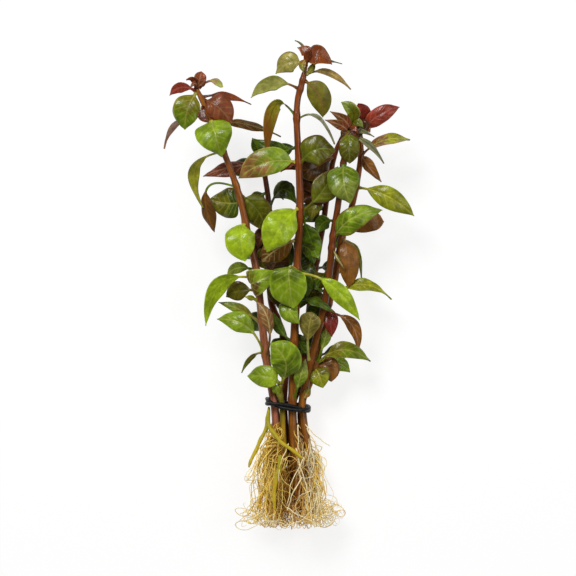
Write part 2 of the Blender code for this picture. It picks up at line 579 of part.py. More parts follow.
def stand_on_origin(objects):
    """Put the middle of the bunch's footprint at the origin and its lowest point at zero."""
    corners = [vertex.co for obj in objects for vertex in obj.data.vertices]
    low = Vector(min(corner[axis] for corner in corners) for axis in range(3))
    high = Vector(max(corner[axis] for corner in corners) for axis in range(3))
    shift = Vector((-(low.x + high.x) / 2, -(low.y + high.y) / 2, -low.z))
    for obj in objects:
        obj.location = shift


def main():
    clear_scene()
    objects = [build_stem(name) for name in STEMS]
    for name in STEMS:
        objects += build_leaves(name)
    objects += [build_roots(name) for name in ROOTS]
    objects += [build_runner(name) for name in RUNNERS]
    objects.append(build_tie())
    stand_on_origin(objects)


main()
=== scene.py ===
"""The looks of a tied bunch of ludwigia cuttings, lying on its side.

The tables are in millimetres, in the frame that part.py plans the bunch in: +Y runs from the roots to
the shoot tips, +X to the right and +Z up from the surface. MM turns them into metres, and HOME is
where that frame's origin lies. Scales are in waves for each millimetre.
"""
import json
import math
import random
from collections import namedtuple

import bpy
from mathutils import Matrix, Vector, noise


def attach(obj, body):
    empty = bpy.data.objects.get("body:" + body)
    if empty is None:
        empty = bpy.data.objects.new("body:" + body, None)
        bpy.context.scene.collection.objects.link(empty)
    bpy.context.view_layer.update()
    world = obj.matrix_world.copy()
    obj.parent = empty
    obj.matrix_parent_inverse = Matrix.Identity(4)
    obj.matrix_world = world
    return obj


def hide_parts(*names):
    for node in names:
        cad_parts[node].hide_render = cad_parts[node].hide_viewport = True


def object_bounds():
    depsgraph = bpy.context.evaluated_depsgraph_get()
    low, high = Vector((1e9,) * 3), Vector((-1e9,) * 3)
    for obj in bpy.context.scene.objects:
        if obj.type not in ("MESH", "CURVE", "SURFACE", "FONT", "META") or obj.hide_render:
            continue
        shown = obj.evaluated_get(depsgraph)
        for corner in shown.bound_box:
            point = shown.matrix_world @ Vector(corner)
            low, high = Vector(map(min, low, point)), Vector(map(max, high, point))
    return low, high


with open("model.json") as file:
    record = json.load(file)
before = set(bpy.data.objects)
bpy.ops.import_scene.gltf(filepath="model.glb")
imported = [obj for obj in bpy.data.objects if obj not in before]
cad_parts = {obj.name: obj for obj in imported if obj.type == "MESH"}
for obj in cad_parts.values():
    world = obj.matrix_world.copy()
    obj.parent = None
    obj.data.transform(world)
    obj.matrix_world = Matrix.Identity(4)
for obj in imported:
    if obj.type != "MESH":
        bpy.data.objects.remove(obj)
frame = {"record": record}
CAD_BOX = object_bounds()

MM = 0.001
UP = Vector((0, 0, 1))
ALONG_BUNCH = Vector((0, 1, 0))
FULL_TURN = 2 * math.pi
NOISE_SEED = 4                # without one, the threads' curls would change with the clock

STEM_SIDES = 20
STEM_STATION = 1.0
STEM_WOBBLE = 0.07            # how uneven a stem's radius is
STEM_WOBBLE_SCALE = 0.15
STEM_SPACING = 40.0           # keeps each stem's bark different from the others'
JOINT_SWELLING = 0.35         # how far a stem swells where leaves grow
JOINT_REACH = 1.5
TOP_LENGTH = 12.0             # the stretch below its top over which a stem thins
TOP_TIP = 2.0                 # the last of it, which stays as thin
TOP_THINNING = 0.62
TOP_BLUNTNESS = 0.04

STALK_INSET = 0.7             # where a stalk starts, as a share of the stem's radius
STALK_HALF_WIDTH = 0.6
STALK_HALF_THICKNESS = 0.5
STALK_FLARE = 0.5             # wider where it leaves the stem
STALK_FLARE_LENGTH = 1.5
STALK_THINNING = 0.6          # how much of its half width is gone at the blade's tip
STALK_EDGE = 0.02             # least share of its thickness at its sides, squared
BLADE_HALF_THICKNESS = 0.16
BLADE_EDGE = 0.06
MIDRIB_HALF_WIDTH = 0.5
MIDRIB_DEPTH = 0.32           # how far the midrib stands out underneath
MIDRIB_THINNING = 0.75        # of that, from base to tip
GROOVE_DEPTH = 0.15           # how far it sinks in above
SIDE_VEINS = 6.0              # pairs on each blade
VEIN_SWEEP = 1.5              # how far a side vein runs forward, in spaces between veins
PUCKER = 0.30                 # how far the blade rises between its veins
PUCKER_FULL = 5.0             # the half width from which it rises that far
PUCKER_START = (0.06, 0.25)   # where the puckers begin beside the midrib, as shares of the half width
EDGE_WAVE = 0.045             # of the edge, as a share of the blade's width
EDGE_WAVES = (1.4, 2.4)       # the fewest and the most waves along an edge
EDGE_MISMATCH = 1.15          # how many times as many the left edge has
BLADE_FOLD = (0.08, 0.26)     # the least and the most that a blade folds about its midrib
BLADE_SKEW = 0.10             # how much wider one half may be, and narrower the other
EDGE_CROWDING = 1.4           # above 1, points lie closer near the midrib
BLADE_SPACING = 7.0           # keeps each blade's blotches different from the others'
LARGE_LEAF_GRID = (34, 18)    # rows along the blade and columns across it
SMALL_LEAF_GRID = (16, 10)
STEM_SEEDS = 100              # for the leaves of one stem
SMALL_LEAF_SEEDS = 50         # where the small ones' start among them
FLOOR_SOFTNESS = 0.8          # how gently a leaf bends where it meets the surface

TIE_CENTRE = (0.0, -59.0, 15.4)
TIE_HALF_WIDTH = 10.6
TIE_HALF_DEPTH = 8.1
TIE_SQUARENESS = 3.0          # 2 is an ellipse
TIE_STRAND_RADIUS = 0.9
TIE_STRAND_OFFSET = 0.9
TIE_SLOPE = -0.18
TIE_LEAN = -0.10
TIE_TURNS = 2
TIE_TWISTS = 1.5
TIE_CROSSING = math.pi / 4
TIE_STATIONS = 360
TIE_SIDES = 14

ROOT_AXIS_X = 0.8
ROOT_AXIS_Z = 15.6
ROOT_LOWEST = -121.0
THREADS_FROM = -67.0          # where the highest threads leave a stem
THREADS_LOWER = 10.0          # by how much they start lower in front
THREADS_TO = -104.0           # where the lowest ones do, unless the stem is shorter
THREADS_ABOVE_CUT = 2.0       # how far above the stem's cut end
THREAD_CROWDING = 1.3         # above 1, more of them start high up
THREAD_INSET = 0.8            # where a thread starts, as a share of the stem's radius
THREAD_SIDES = 4
THREAD_STATIONS = 40
THREAD_STEP = 1.50            # between stations of the longest threads
THREAD_LENGTHS = (0.45, 1.0)  # the shortest and the longest, as shares of the longest
THREAD_RADII = (0.17, 0.36)
THREAD_THINNING = 0.55
THREAD_SPLAY = (0.05, 0.65)   # how far outward a thread sets off, against 1 down
THREAD_CURL = 0.34            # how sharply a thread wanders
THREAD_CURLS = (0.7, 0.9, 1.2, 2.0)
THREAD_WANDER_SCALE = 0.21
SHARED_WANDER_SCALE = 0.10    # of the bends that neighbouring threads share
SHARED_WANDER = 0.7
NOISE_ROOM = 90.0             # how far apart two threads' own wanderings may lie in the noise
THREAD_PULL = 0.20            # how strongly a thread turns down
THREAD_REACH = (0.1, 1.02)    # how far out it settles, squared, as a share of the mass of roots
OUTWARD_PULL = 0.16           # how strongly it is drawn out there
INWARD_PULL = 1.6             # and back in from further out
THREADS_END = 9.0             # how far above the lowest ends the highest ones are
END_LENGTH = 4.0              # the stretch over which a thread levels out at its end
END_SPREAD = 0.16             # how strongly it turns outward there
END_LIFT = 0.24               # and how strongly it stops going down
THREAD_FLOOR = 0.35           # the lowest that a thread's middle line lies
STEM_WINDOW_X = 4.2           # where threads part in front of the middle stem, and how far
STEM_WINDOW = 3.4
STEM_WINDOW_LOWEST = -110.0
STEM_WINDOW_SHIFT = (-0.3, 1.8)   # its middle at its top and the way it moves, as shares of its X
STEM_WINDOW_TAPER = (1.25, 0.7)   # its width at its top, and how much of it goes
STEM_WINDOW_PUSH = 0.26

RUNNER_RADIUS = 1.15
RUNNER_SIDES = 12
RUNNER_STEPS = 14
RUNNER_THINNING = 0.28
RUNNER_BEND = 0.25            # how far a runner swings from side to side
RUNNER_BENDS = 17             # radians of that along it
RUNNER_KNOT = 0.06            # how uneven its thickness is
RUNNER_KNOTS = 31
RUNNER_TIP = (0.08, 8)        # how blunt its ends are, and how soon they are full
RUNNER_GREEN = 0.25           # how far along a thread's paint it gets, so that its green fades late

STRAND_RADIUS = 0.33
STRAND_SIDES = 8
STRAND_STEPS = 10
STRAND_THINNING = 0.5
STRAND_WANDER = 0.8
STRAND_WANDER_SCALE = 0.2
STRAND_PALE_FROM = 0.3        # how far along a thread's paint a strand starts, so that it's pale

SHEEN = 0.24                  # of every finish
COAT_ROUGHNESS = 0.10

FLOOR_HALF = 3.0              # metres, as are the next one and the lamps' and camera's places
FLOOR_GAP = 0.0003
FLOOR_WHITE = 0.25
FLOOR_GLOW = 0.80
ROOM_LIGHT = 0.18
ROOM_SHEEN = 0.07
CAMERA_HEIGHT = 1.53
CAMERA_SENSOR = 36.0
CAMERA_LENS = 187.5

Leaf = namedtuple("Leaf", "at shoulder tip width cup form look face twist", defaults=(0, 0))
Form = namedtuple("Form", "stalk widest base tip drawn")
Stem = namedtuple("Stem", "foot_radius top_radius look points")
Look = namedtuple("Look", "stalk base tip rim vein back back_vein")
Bark = namedtuple("Bark", "low high joint")
Tuft = namedtuple("Tuft", "first last threads stems pale deep")
RootRow = namedtuple("RootRow", "y half_width half_depth")
Lamp = namedtuple("Lamp", "name place size power")

LAMPS = [
    Lamp("key", (-0.35, 0.60, 0.95), 0.40, 9.0),
    Lamp("fill", (0.65, 0.10, 0.90), 0.60, 3.0),
]

# Paints, as linear red, green and blue.
PAINTS = {
    "lime": (0.33, 0.47, 0.010),
    "bright lime": (0.46, 0.60, 0.035),
    "fresh": (0.21, 0.32, 0.008),
    "green": (0.125, 0.20, 0.004),
    "deep green": (0.050, 0.085, 0.003),
    "dark": (0.038, 0.045, 0.002),
    "grey green": (0.20, 0.25, 0.030),
    "olive": (0.155, 0.145, 0.004),
    "dull olive": (0.17, 0.14, 0.022),
    "pale olive": (0.34, 0.30, 0.055),
    "pale green": (0.40, 0.42, 0.080),
    "yellow green": (0.25, 0.27, 0.006),
    "yellow": (0.50, 0.46, 0.050),
    "straw": (0.50, 0.42, 0.16),
    "brown": (0.125, 0.050, 0.006),
    "dark brown": (0.065, 0.026, 0.003),
    "amber": (0.25, 0.094, 0.007),
    "bronze": (0.34, 0.20, 0.040),
    "dark olive": (0.088, 0.076, 0.003),
    "warm green": (0.135, 0.145, 0.004),
    "bright olive": (0.36, 0.36, 0.020),
    "pink brown": (0.25, 0.11, 0.030),
    "pink": (0.46, 0.22, 0.13),
    "rust": (0.19, 0.042, 0.009),
    "red orange": (0.25, 0.058, 0.008),
    "scarlet": (0.28, 0.050, 0.009),
    "crimson": (0.27, 0.034, 0.017),
    "rose": (0.42, 0.12, 0.075),
    "maroon": (0.085, 0.017, 0.004),
    "dark rust": (0.115, 0.024, 0.006),
    "dark crimson": (0.17, 0.018, 0.010),
    "dusky brown": (0.085, 0.038, 0.007),
    "grey": (0.25, 0.24, 0.12),
    "bark red": (0.215, 0.050, 0.006),
    "bark orange": (0.26, 0.092, 0.010),
    "bark light": (0.40, 0.155, 0.035),
    "bark pink": (0.42, 0.145, 0.075),
    "bark amber": (0.27, 0.080, 0.011),
    "bark tan": (0.42, 0.24, 0.012),
    "bark deep": (0.145, 0.034, 0.005),
    "bark dark": (0.068, 0.013, 0.003),
    "root cream": (0.98, 0.90, 0.60),
    "root gold": (0.98, 0.78, 0.22),
    "root white": (0.95, 0.80, 0.46),
    "root straw": (0.92, 0.62, 0.14),
    "root ochre": (0.86, 0.56, 0.05),
    "root brown": (0.42, 0.165, 0.008),
    "runner": (0.56, 0.41, 0.016),
    "runner green": (0.26, 0.27, 0.012),
    "rubber": (0.010, 0.010, 0.011),
    "rubber dust": (0.045, 0.043, 0.040),
}

# What each leaf look is painted with. Its rim and veins show on the upper side, and its back is the
# underside.
LOOKS = {
    "lime": Look("yellow", "lime", "lime", "bright lime", "bright lime", "pale green", "pale green"),
    "fresh": Look("yellow", "fresh", "fresh", "lime", "pale green", "pale green", "straw"),
    "green": Look("yellow", "green", "fresh", "lime", "pale green", "olive", "pale olive"),
    "yellow green": Look("yellow", "yellow green", "yellow green", "lime", "yellow", "pale olive", "straw"),
    "olive green": Look("pale olive", "olive", "green", "pale olive", "pale olive", "olive", "pale olive"),
    "grey green": Look("green", "green", "grey green", "grey green", "pale green", "olive", "straw"),
    "dark": Look("deep green", "dark", "deep green", "green", "green", "dark brown", "olive"),
    "dark olive": Look("olive", "deep green", "olive", "brown", "pale olive", "brown", "amber"),
    "olive": Look("pale green", "olive", "olive", "pale olive", "pale olive", "olive", "straw"),
    "dull olive": Look("pale green", "dull olive", "dull olive", "pale olive", "pale olive",
                       "dull olive", "straw"),
    "pale olive": Look("pink brown", "pale olive", "pale olive", "brown", "straw", "brown", "straw"),
    "pale green": Look("pink brown", "pale green", "pale green", "olive", "straw", "pale olive", "straw"),
    "brown strap": Look("green", "bright olive", "amber", "pale olive", "amber", "brown", "pink brown"),
    "green to brown": Look("green", "olive", "dark brown", "olive", "pale olive", "brown", "amber"),
    "half brown": Look("yellow", "fresh", "pink brown", "pale green", "pale green", "brown", "pink"),
    "brown rim": Look("olive", "green", "fresh", "amber", "pale green", "amber", "straw"),
    "patched": Look("yellow", "brown", "fresh", "pale green", "pale green", "brown", "pink"),
    "rust": Look("brown", "rust", "rust", "rust", "pink", "rust", "pink"),
    "veined rust": Look("maroon", "dark rust", "dark rust", "rust", "bronze", "rust", "pink brown"),
    "red orange": Look("rust", "rust", "red orange", "amber", "rust", "rust", "pink brown"),
    "crimson": Look("crimson", "crimson", "crimson", "rose", "rose", "crimson", "rose"),
    "maroon": Look("maroon", "maroon", "dark brown", "rust", "rust", "maroon", "rust"),
    "pink maroon": Look("maroon", "rust", "rust", "maroon", "pink", "rust", "pink"),
    "pink brown": Look("pink brown", "pink brown", "brown", "yellow", "straw", "pink brown", "straw"),
    "amber": Look("straw", "amber", "brown", "olive", "straw", "amber", "pink brown"),
    "olive brown": Look("brown", "olive", "brown", "brown", "straw", "olive", "pink brown"),
    "bronze": Look("brown", "bronze", "bronze", "brown", "straw", "bronze", "straw"),
    "bronze olive": Look("olive", "dark olive", "dark olive", "brown", "olive", "dark olive", "olive"),
    "warm green": Look("olive", "warm green", "dark olive", "brown", "grey green", "olive", "straw"),
    "bright olive": Look("yellow", "bright olive", "bright olive", "olive", "yellow", "olive", "straw"),
    "pink lance": Look("rust", "pink brown", "pink", "pink", "pink", "pink brown", "pink"),
    "red brown": Look("brown", "rust", "brown", "amber", "pink", "amber", "pink"),
    "pink to lime": Look("pink", "pink brown", "yellow green", "rose", "yellow", "pink brown", "pink"),
    "deep": Look("deep green", "deep green", "deep green", "green", "green", "dark brown", "olive"),
    "deep tipped": Look("green", "deep green", "green", "grey green", "green", "brown", "olive"),
    "pale fresh": Look("pale green", "lime", "fresh", "pale green", "pale green", "pale green", "straw"),
    "grey": Look("olive", "grey", "grey", "olive", "deep green", "grey", "pale olive"),
    "striped": Look("green", "olive", "grey green", "straw", "deep green", "pale green", "straw"),
    "yellow olive": Look("olive", "olive", "yellow green", "yellow green", "yellow", "olive", "straw"),
    "rusty olive": Look("brown", "amber", "olive", "amber", "pale olive", "amber", "pink brown"),
    "rusty amber": Look("brown", "brown", "amber", "brown", "pink brown", "brown", "pink brown"),
    "bud to green": Look("rust", "pink", "pale green", "olive", "pale green", "rust", "pink"),
    "dark rust": Look("maroon", "dark rust", "rust", "rust", "rust", "dark rust", "pink brown"),
    "dark crimson": Look("maroon", "dark crimson", "dark crimson", "rust", "crimson", "dark crimson",
                         "rose"),
    "dusky brown": Look("brown", "dusky brown", "dusky brown", "olive", "pink brown", "dusky brown",
                        "pink brown"),
    "bud": Look("rust", "rust", "scarlet", "amber", "pink", "rust", "pink"),
}

BARKS = {
    "red": Bark("bark orange", "bark red", "rust"),
    "amber": Bark("bark light", "bark amber", "bark orange"),
    "pink": Bark("bark pink", "bark amber", "bark orange"),
    "deep red": Bark("bark orange", "bark deep", "rust"),
    "maroon": Bark("bark red", "bark dark", "maroon"),
    "green": Bark("bark tan", "olive", "pale olive"),
}

# Leaf outlines: the stalk's share of the length, where the blade is widest, how round its base and
# tip are, from 1.5 to 4, and how far the tip is drawn out, from 1.
FORMS = {
    "heart": Form(0.06, 0.36, 4.2, 2.3, 1.02),
    "broad": Form(0.07, 0.46, 2.9, 2.4, 1.02),
    "oval": Form(0.14, 0.46, 2.2, 2.1, 1.10),
    "lance": Form(0.18, 0.42, 1.8, 1.8, 1.05),
    "tailed": Form(0.16, 0.38, 1.9, 2.2, 1.90),
    "strap": Form(0.12, 0.42, 2.2, 2.6, 1.00),
    "stalked": Form(0.30, 0.48, 1.9, 2.0, 1.10),
    "paddle": Form(0.52, 0.66, 1.7, 1.9, 1.00),
    "spoon": Form(0.40, 0.62, 1.6, 3.4, 1.00),
    "blunt": Form(0.06, 0.50, 3.0, 3.2, 1.00),
    "disc": Form(0.34, 0.64, 3.0, 2.7, 1.00),
    "small": Form(0.10, 0.42, 2.2, 2.0, 1.00),
    "round": Form(0.10, 0.50, 2.5, 2.7, 1.00),
}

STEMS = {
    "left_stem": Stem(2.1, 1.2, "pink", [
        (-5.4, -93.5, 13.0), (-6.5, -62.0, 15.5), (-10.8, -37.0, 18.5), (-12.5, -22.5, 21.0),
        (-14.2, -5.5, 24.5), (-16.2, 10.5, 27.5), (-18.5, 20.5, 29.0), (-21.0, 31.5, 31.0),
        (-24.0, 45.0, 33.0), (-29.0, 60.0, 35.0), (-32.0, 67.5, 36.0), (-37.5, 81.5, 37.0),
        (-42.5, 93.5, 38.0), (-45.0, 98.5, 38.0), (-44.0, 105.0, 38.5)]),
    "middle_stem": Stem(2.2, 1.4, "red", [
        (5.5, -112.0, 14.0), (2.7, -74.5, 17.5), (2.2, -57.5, 18.5), (3.0, -30.0, 22.0),
        (4.0, -6.0, 27.0), (4.5, 10.5, 30.0), (6.0, 39.0, 36.0), (5.1, 66.5, 40.0),
        (4.3, 84.5, 42.0), (4.9, 94.0, 42.5), (6.5, 100.0, 43.0), (10.0, 114.0, 44.0)]),
    "right_stem": Stem(2.0, 1.3, "deep red", [
        (14.5, -99.5, 15.0), (10.3, -81.5, 16.0), (7.2, -60.0, 16.8), (9.0, -48.0, 17.5),
        (12.8, -31.5, 20.0), (18.5, -7.0, 25.5), (21.0, 11.0, 28.5), (22.5, 26.0, 31.0),
        (25.0, 41.5, 33.0), (27.5, 61.5, 36.0), (29.5, 76.5, 39.0), (31.0, 83.0, 40.0)]),
    "outer_stem": Stem(1.9, 1.3, "amber", [
        (11.5, -95.0, 9.3), (8.2, -78.0, 12.2), (6.7, -60.0, 12.6), (12.0, -45.0, 14.0),
        (16.0, -30.0, 15.5), (20.0, -10.0, 18.5), (23.0, 1.0, 20.2), (26.8, 24.0, 23.6),
        (32.8, 44.0, 26.0), (36.5, 66.5, 28.5), (36.2, 76.0, 29.5), (37.0, 84.0, 30.0)]),
    "back_right_stem": Stem(1.9, 1.2, "deep red", [
        (5.5, -92.0, 9.0), (3.5, -75.0, 10.9), (2.5, -58.5, 12.2), (6.0, -48.5, 12.5),
        (9.5, -23.5, 13.5), (12.0, -0.5, 15.0), (14.5, 14.5, 16.5), (17.9, 33.5, 18.5),
        (21.0, 56.5, 21.5), (24.8, 71.0, 24.5), (28.5, 80.0, 26.5)]),
    "back_left_stem": Stem(1.9, 1.2, "maroon", [
        (1.0, -88.0, 10.0), (-1.0, -75.0, 11.5), (-2.2, -58.5, 12.6), (-1.0, -35.0, 12.0),
        (-2.5, -23.5, 12.0), (-8.0, -9.0, 12.0), (-9.0, -2.0, 12.0), (-10.0, 14.0, 12.3),
        (-9.8, 42.5, 14.0), (-12.5, 64.0, 17.0), (-11.5, 71.0, 18.0)]),
    "short_stem": Stem(1.6, 1.3, "green", [
        (-1.7, -86.0, 15.5), (-2.5, -71.0, 17.5), (-3.0, -58.5, 18.6), (-4.0, -53.5, 20.0),
        (-4.0, -47.0, 22.0)]),
}

# Leaves that are pieces of their own, by the stem that they grow from. "at" is the height on the
# stem, and the midrib passes the shoulder half way. The last two, 0 where they are left out, are
# face, which turns the blade about its midrib, and twist, how much more its tip is turned than its
# base. Face 0 shows the upper side from above, 90 the edge and 180 the underside.
LEAVES = {
    "left_stem": [
        Leaf(97.5, (-49.9, 88.5, 41), (-51.3, 78.9, 37), 13.6, -0.2, "broad", "olive green"),
        Leaf(93, (-34.5, 89.5, 42), (-28, 81.5, 39.7), 13, 0.2, "broad", "veined rust", 180),
        Leaf(83.5, (-36, 76, 46.5), (-33, 65, 42.5), 18.5, -0.2, "heart", "fresh"),
        Leaf(82, (-20.5, 81.6, 34.5), (-3.5, 75.5, 32), 7, 0.2, "tailed", "amber", -50),
        Leaf(68, (-46.3, 59, 38), (-42.5, 40, 32), 8, 0.2, "lance", "bright olive", 50),
        Leaf(51, (-40.6, 49, 35), (-36.8, 28, 28), 7.5, 0.2, "paddle", "green to brown", 160, 30),
        Leaf(43, (-30.5, 42.5, 28), (-39.7, 44.5, 25), 15.5, -0.2, "heart", "dark olive"),
        Leaf(45.5, (-15.0, 38.5, 28), (-11, 28, 24), 14, -0.2, "broad", "warm green"),
        Leaf(32.5, (-23.3, 25, 38), (-21.3, 13.3, 36), 15, -0.2, "blunt", "lime"),
        Leaf(5, (-33.7, 1.5, 31), (-41.3, -19, 24), 9.5, 0.15, "lance", "lime", 30),
        Leaf(3.5, (-17.6, 2.4, 35), (-4.4, 8.4, 34), 13.6, -0.15, "broad", "patched"),
        Leaf(-32, (-21, -19, 29), (-35.5, -15.7, 24), 10.5, -0.2, "stalked", "fresh"),
        Leaf(-34, (-9.5, -18, 31), (-15.6, -7, 30), 7, 0.2, "stalked", "pink brown", 180),
    ],
    "middle_stem": [
        Leaf(112.5, (14.6, 115.2, 48.5), (21.7, 110.6, 46), 10.2, 0.2, "heart", "red orange", 10),
        Leaf(110, (1.0, 111.6, 46), (-6, 106.3, 42), 10.6, -0.2, "oval", "pale olive"),
        Leaf(98.5, (-7.3, 101.6, 43), (-18.4, 94.6, 38), 8.3, 0.2, "lance", "pale green", 30),
        Leaf(103, (15.2, 95.2, 44), (17.2, 84.8, 40), 11.2, 0.2, "broad", "olive brown", 180),
        Leaf(86, (-6.8, 89.6, 44), (-10.5, 65.5, 37), 7.4, 0.2, "strap", "brown strap", 30, -30),
        Leaf(62.5, (-10.5, 62.2, 44), (-24.5, 54.5, 39), 13.8, -0.15, "broad", "half brown"),
        Leaf(62, (13.4, 68.4, 45), (23.6, 68, 41), 15.5, -0.2, "broad", "warm green"),
        Leaf(40, (-3.6, 30.3, 45), (-10.4, 17.8, 42), 16.5, -0.25, "broad", "lime"),
        Leaf(38.5, (15.6, 46.5, 38), (24.8, 60.5, 37), 14.2, -0.15, "stalked", "warm green", -20),
        Leaf(36, (11.5, 24, 28), (15.5, 14.5, 26), 10, -0.2, "oval", "deep tipped"),
        Leaf(9, (0.4, 8.5, 40), (2.6, -10.2, 36), 18.5, -0.15, "disc", "green"),
        Leaf(7.5, (22, 1.1, 37), (35.7, -16, 32), 9, -0.2, "stalked", "lime"),
    ],
    "right_stem": [
        Leaf(78.2, (30.4, 70.2, 44), (30.6, 61.8, 42), 10.4, -0.2, "blunt", "warm green"),
        Leaf(62, (27.7, 52, 43), (31, 42, 40), 16, -0.2, "heart", "grey green"),
        Leaf(26, (32.8, 35.3, 38.5), (47, 38.8, 34), 12, -0.2, "heart", "brown rim"),
        Leaf(-37, (10, -24, 28), (12.2, -12, 30), 10.8, -0.15, "spoon", "dull olive"),
    ],
    "outer_stem": [
        Leaf(78.5, (45.2, 86, 37), (55.5, 90.1, 35), 8.6, -0.2, "broad", "crimson"),
        Leaf(67, (48, 73.7, 34), (61, 74, 30), 8, 0.2, "strap", "pink to lime", 45),
        Leaf(50.5, (49.6, 45.8, 34), (63, 36, 30), 11, -0.2, "oval", "yellow green"),
        Leaf(25, (30, 14.6, 29), (30.2, 0.4, 26), 10, 0.2, "blunt", "amber", 180),
        Leaf(-3, (38, 1.8, 27), (52, -5.8, 22), 7.5, 0.2, "tailed", "yellow green", 30),
        Leaf(-12, (32, -18.5, 23), (35.3, -32.3, 18), 6.8, 0.2, "lance", "red brown", 160),
        Leaf(-37.5, (27.5, -31, 24), (41.5, -37, 18), 10, 0.2, "lance", "olive green", 30),
        Leaf(-34, (24, -32.5, 8), (33, -33.5, -2), 8, -0.1, "oval", "dark"),
    ],
    "back_right_stem": [
        Leaf(57, (13.5, 54.5, 30), (5, 51.5, 29), 16, -0.2, "broad", "maroon"),
        Leaf(60, (28, 57, 8), (36, 52, -2), 11, -0.1, "oval", "dark"),
        Leaf(10, (23, 11, 8), (32, 11, -2), 8, -0.1, "oval", "dark"),
    ],
    "back_left_stem": [
        Leaf(62, (-28, 60.5, 26), (-42.5, 56, 24), 9, 0.2, "lance", "pink maroon", 150),
        Leaf(58, (-21, 61, 6), (-32, 60, -2), 10, -0.1, "oval", "dark"),
        Leaf(20, (-19, 20, 6), (-28, 19, -2), 11, -0.1, "oval", "dark"),
        Leaf(-15, (-15, -17, 6), (-25, -18, -2), 10, -0.1, "oval", "dark"),
    ],
    "short_stem": [
        Leaf(-47.5, (-10, -44.5, 28), (-20.3, -44.3, 22), 11.2, -0.15, "blunt", "pale fresh"),
        Leaf(-48, (-1.2, -37, 32), (-8.8, -27.6, 34), 15.6, -0.2, "round", "green"),
    ],
}

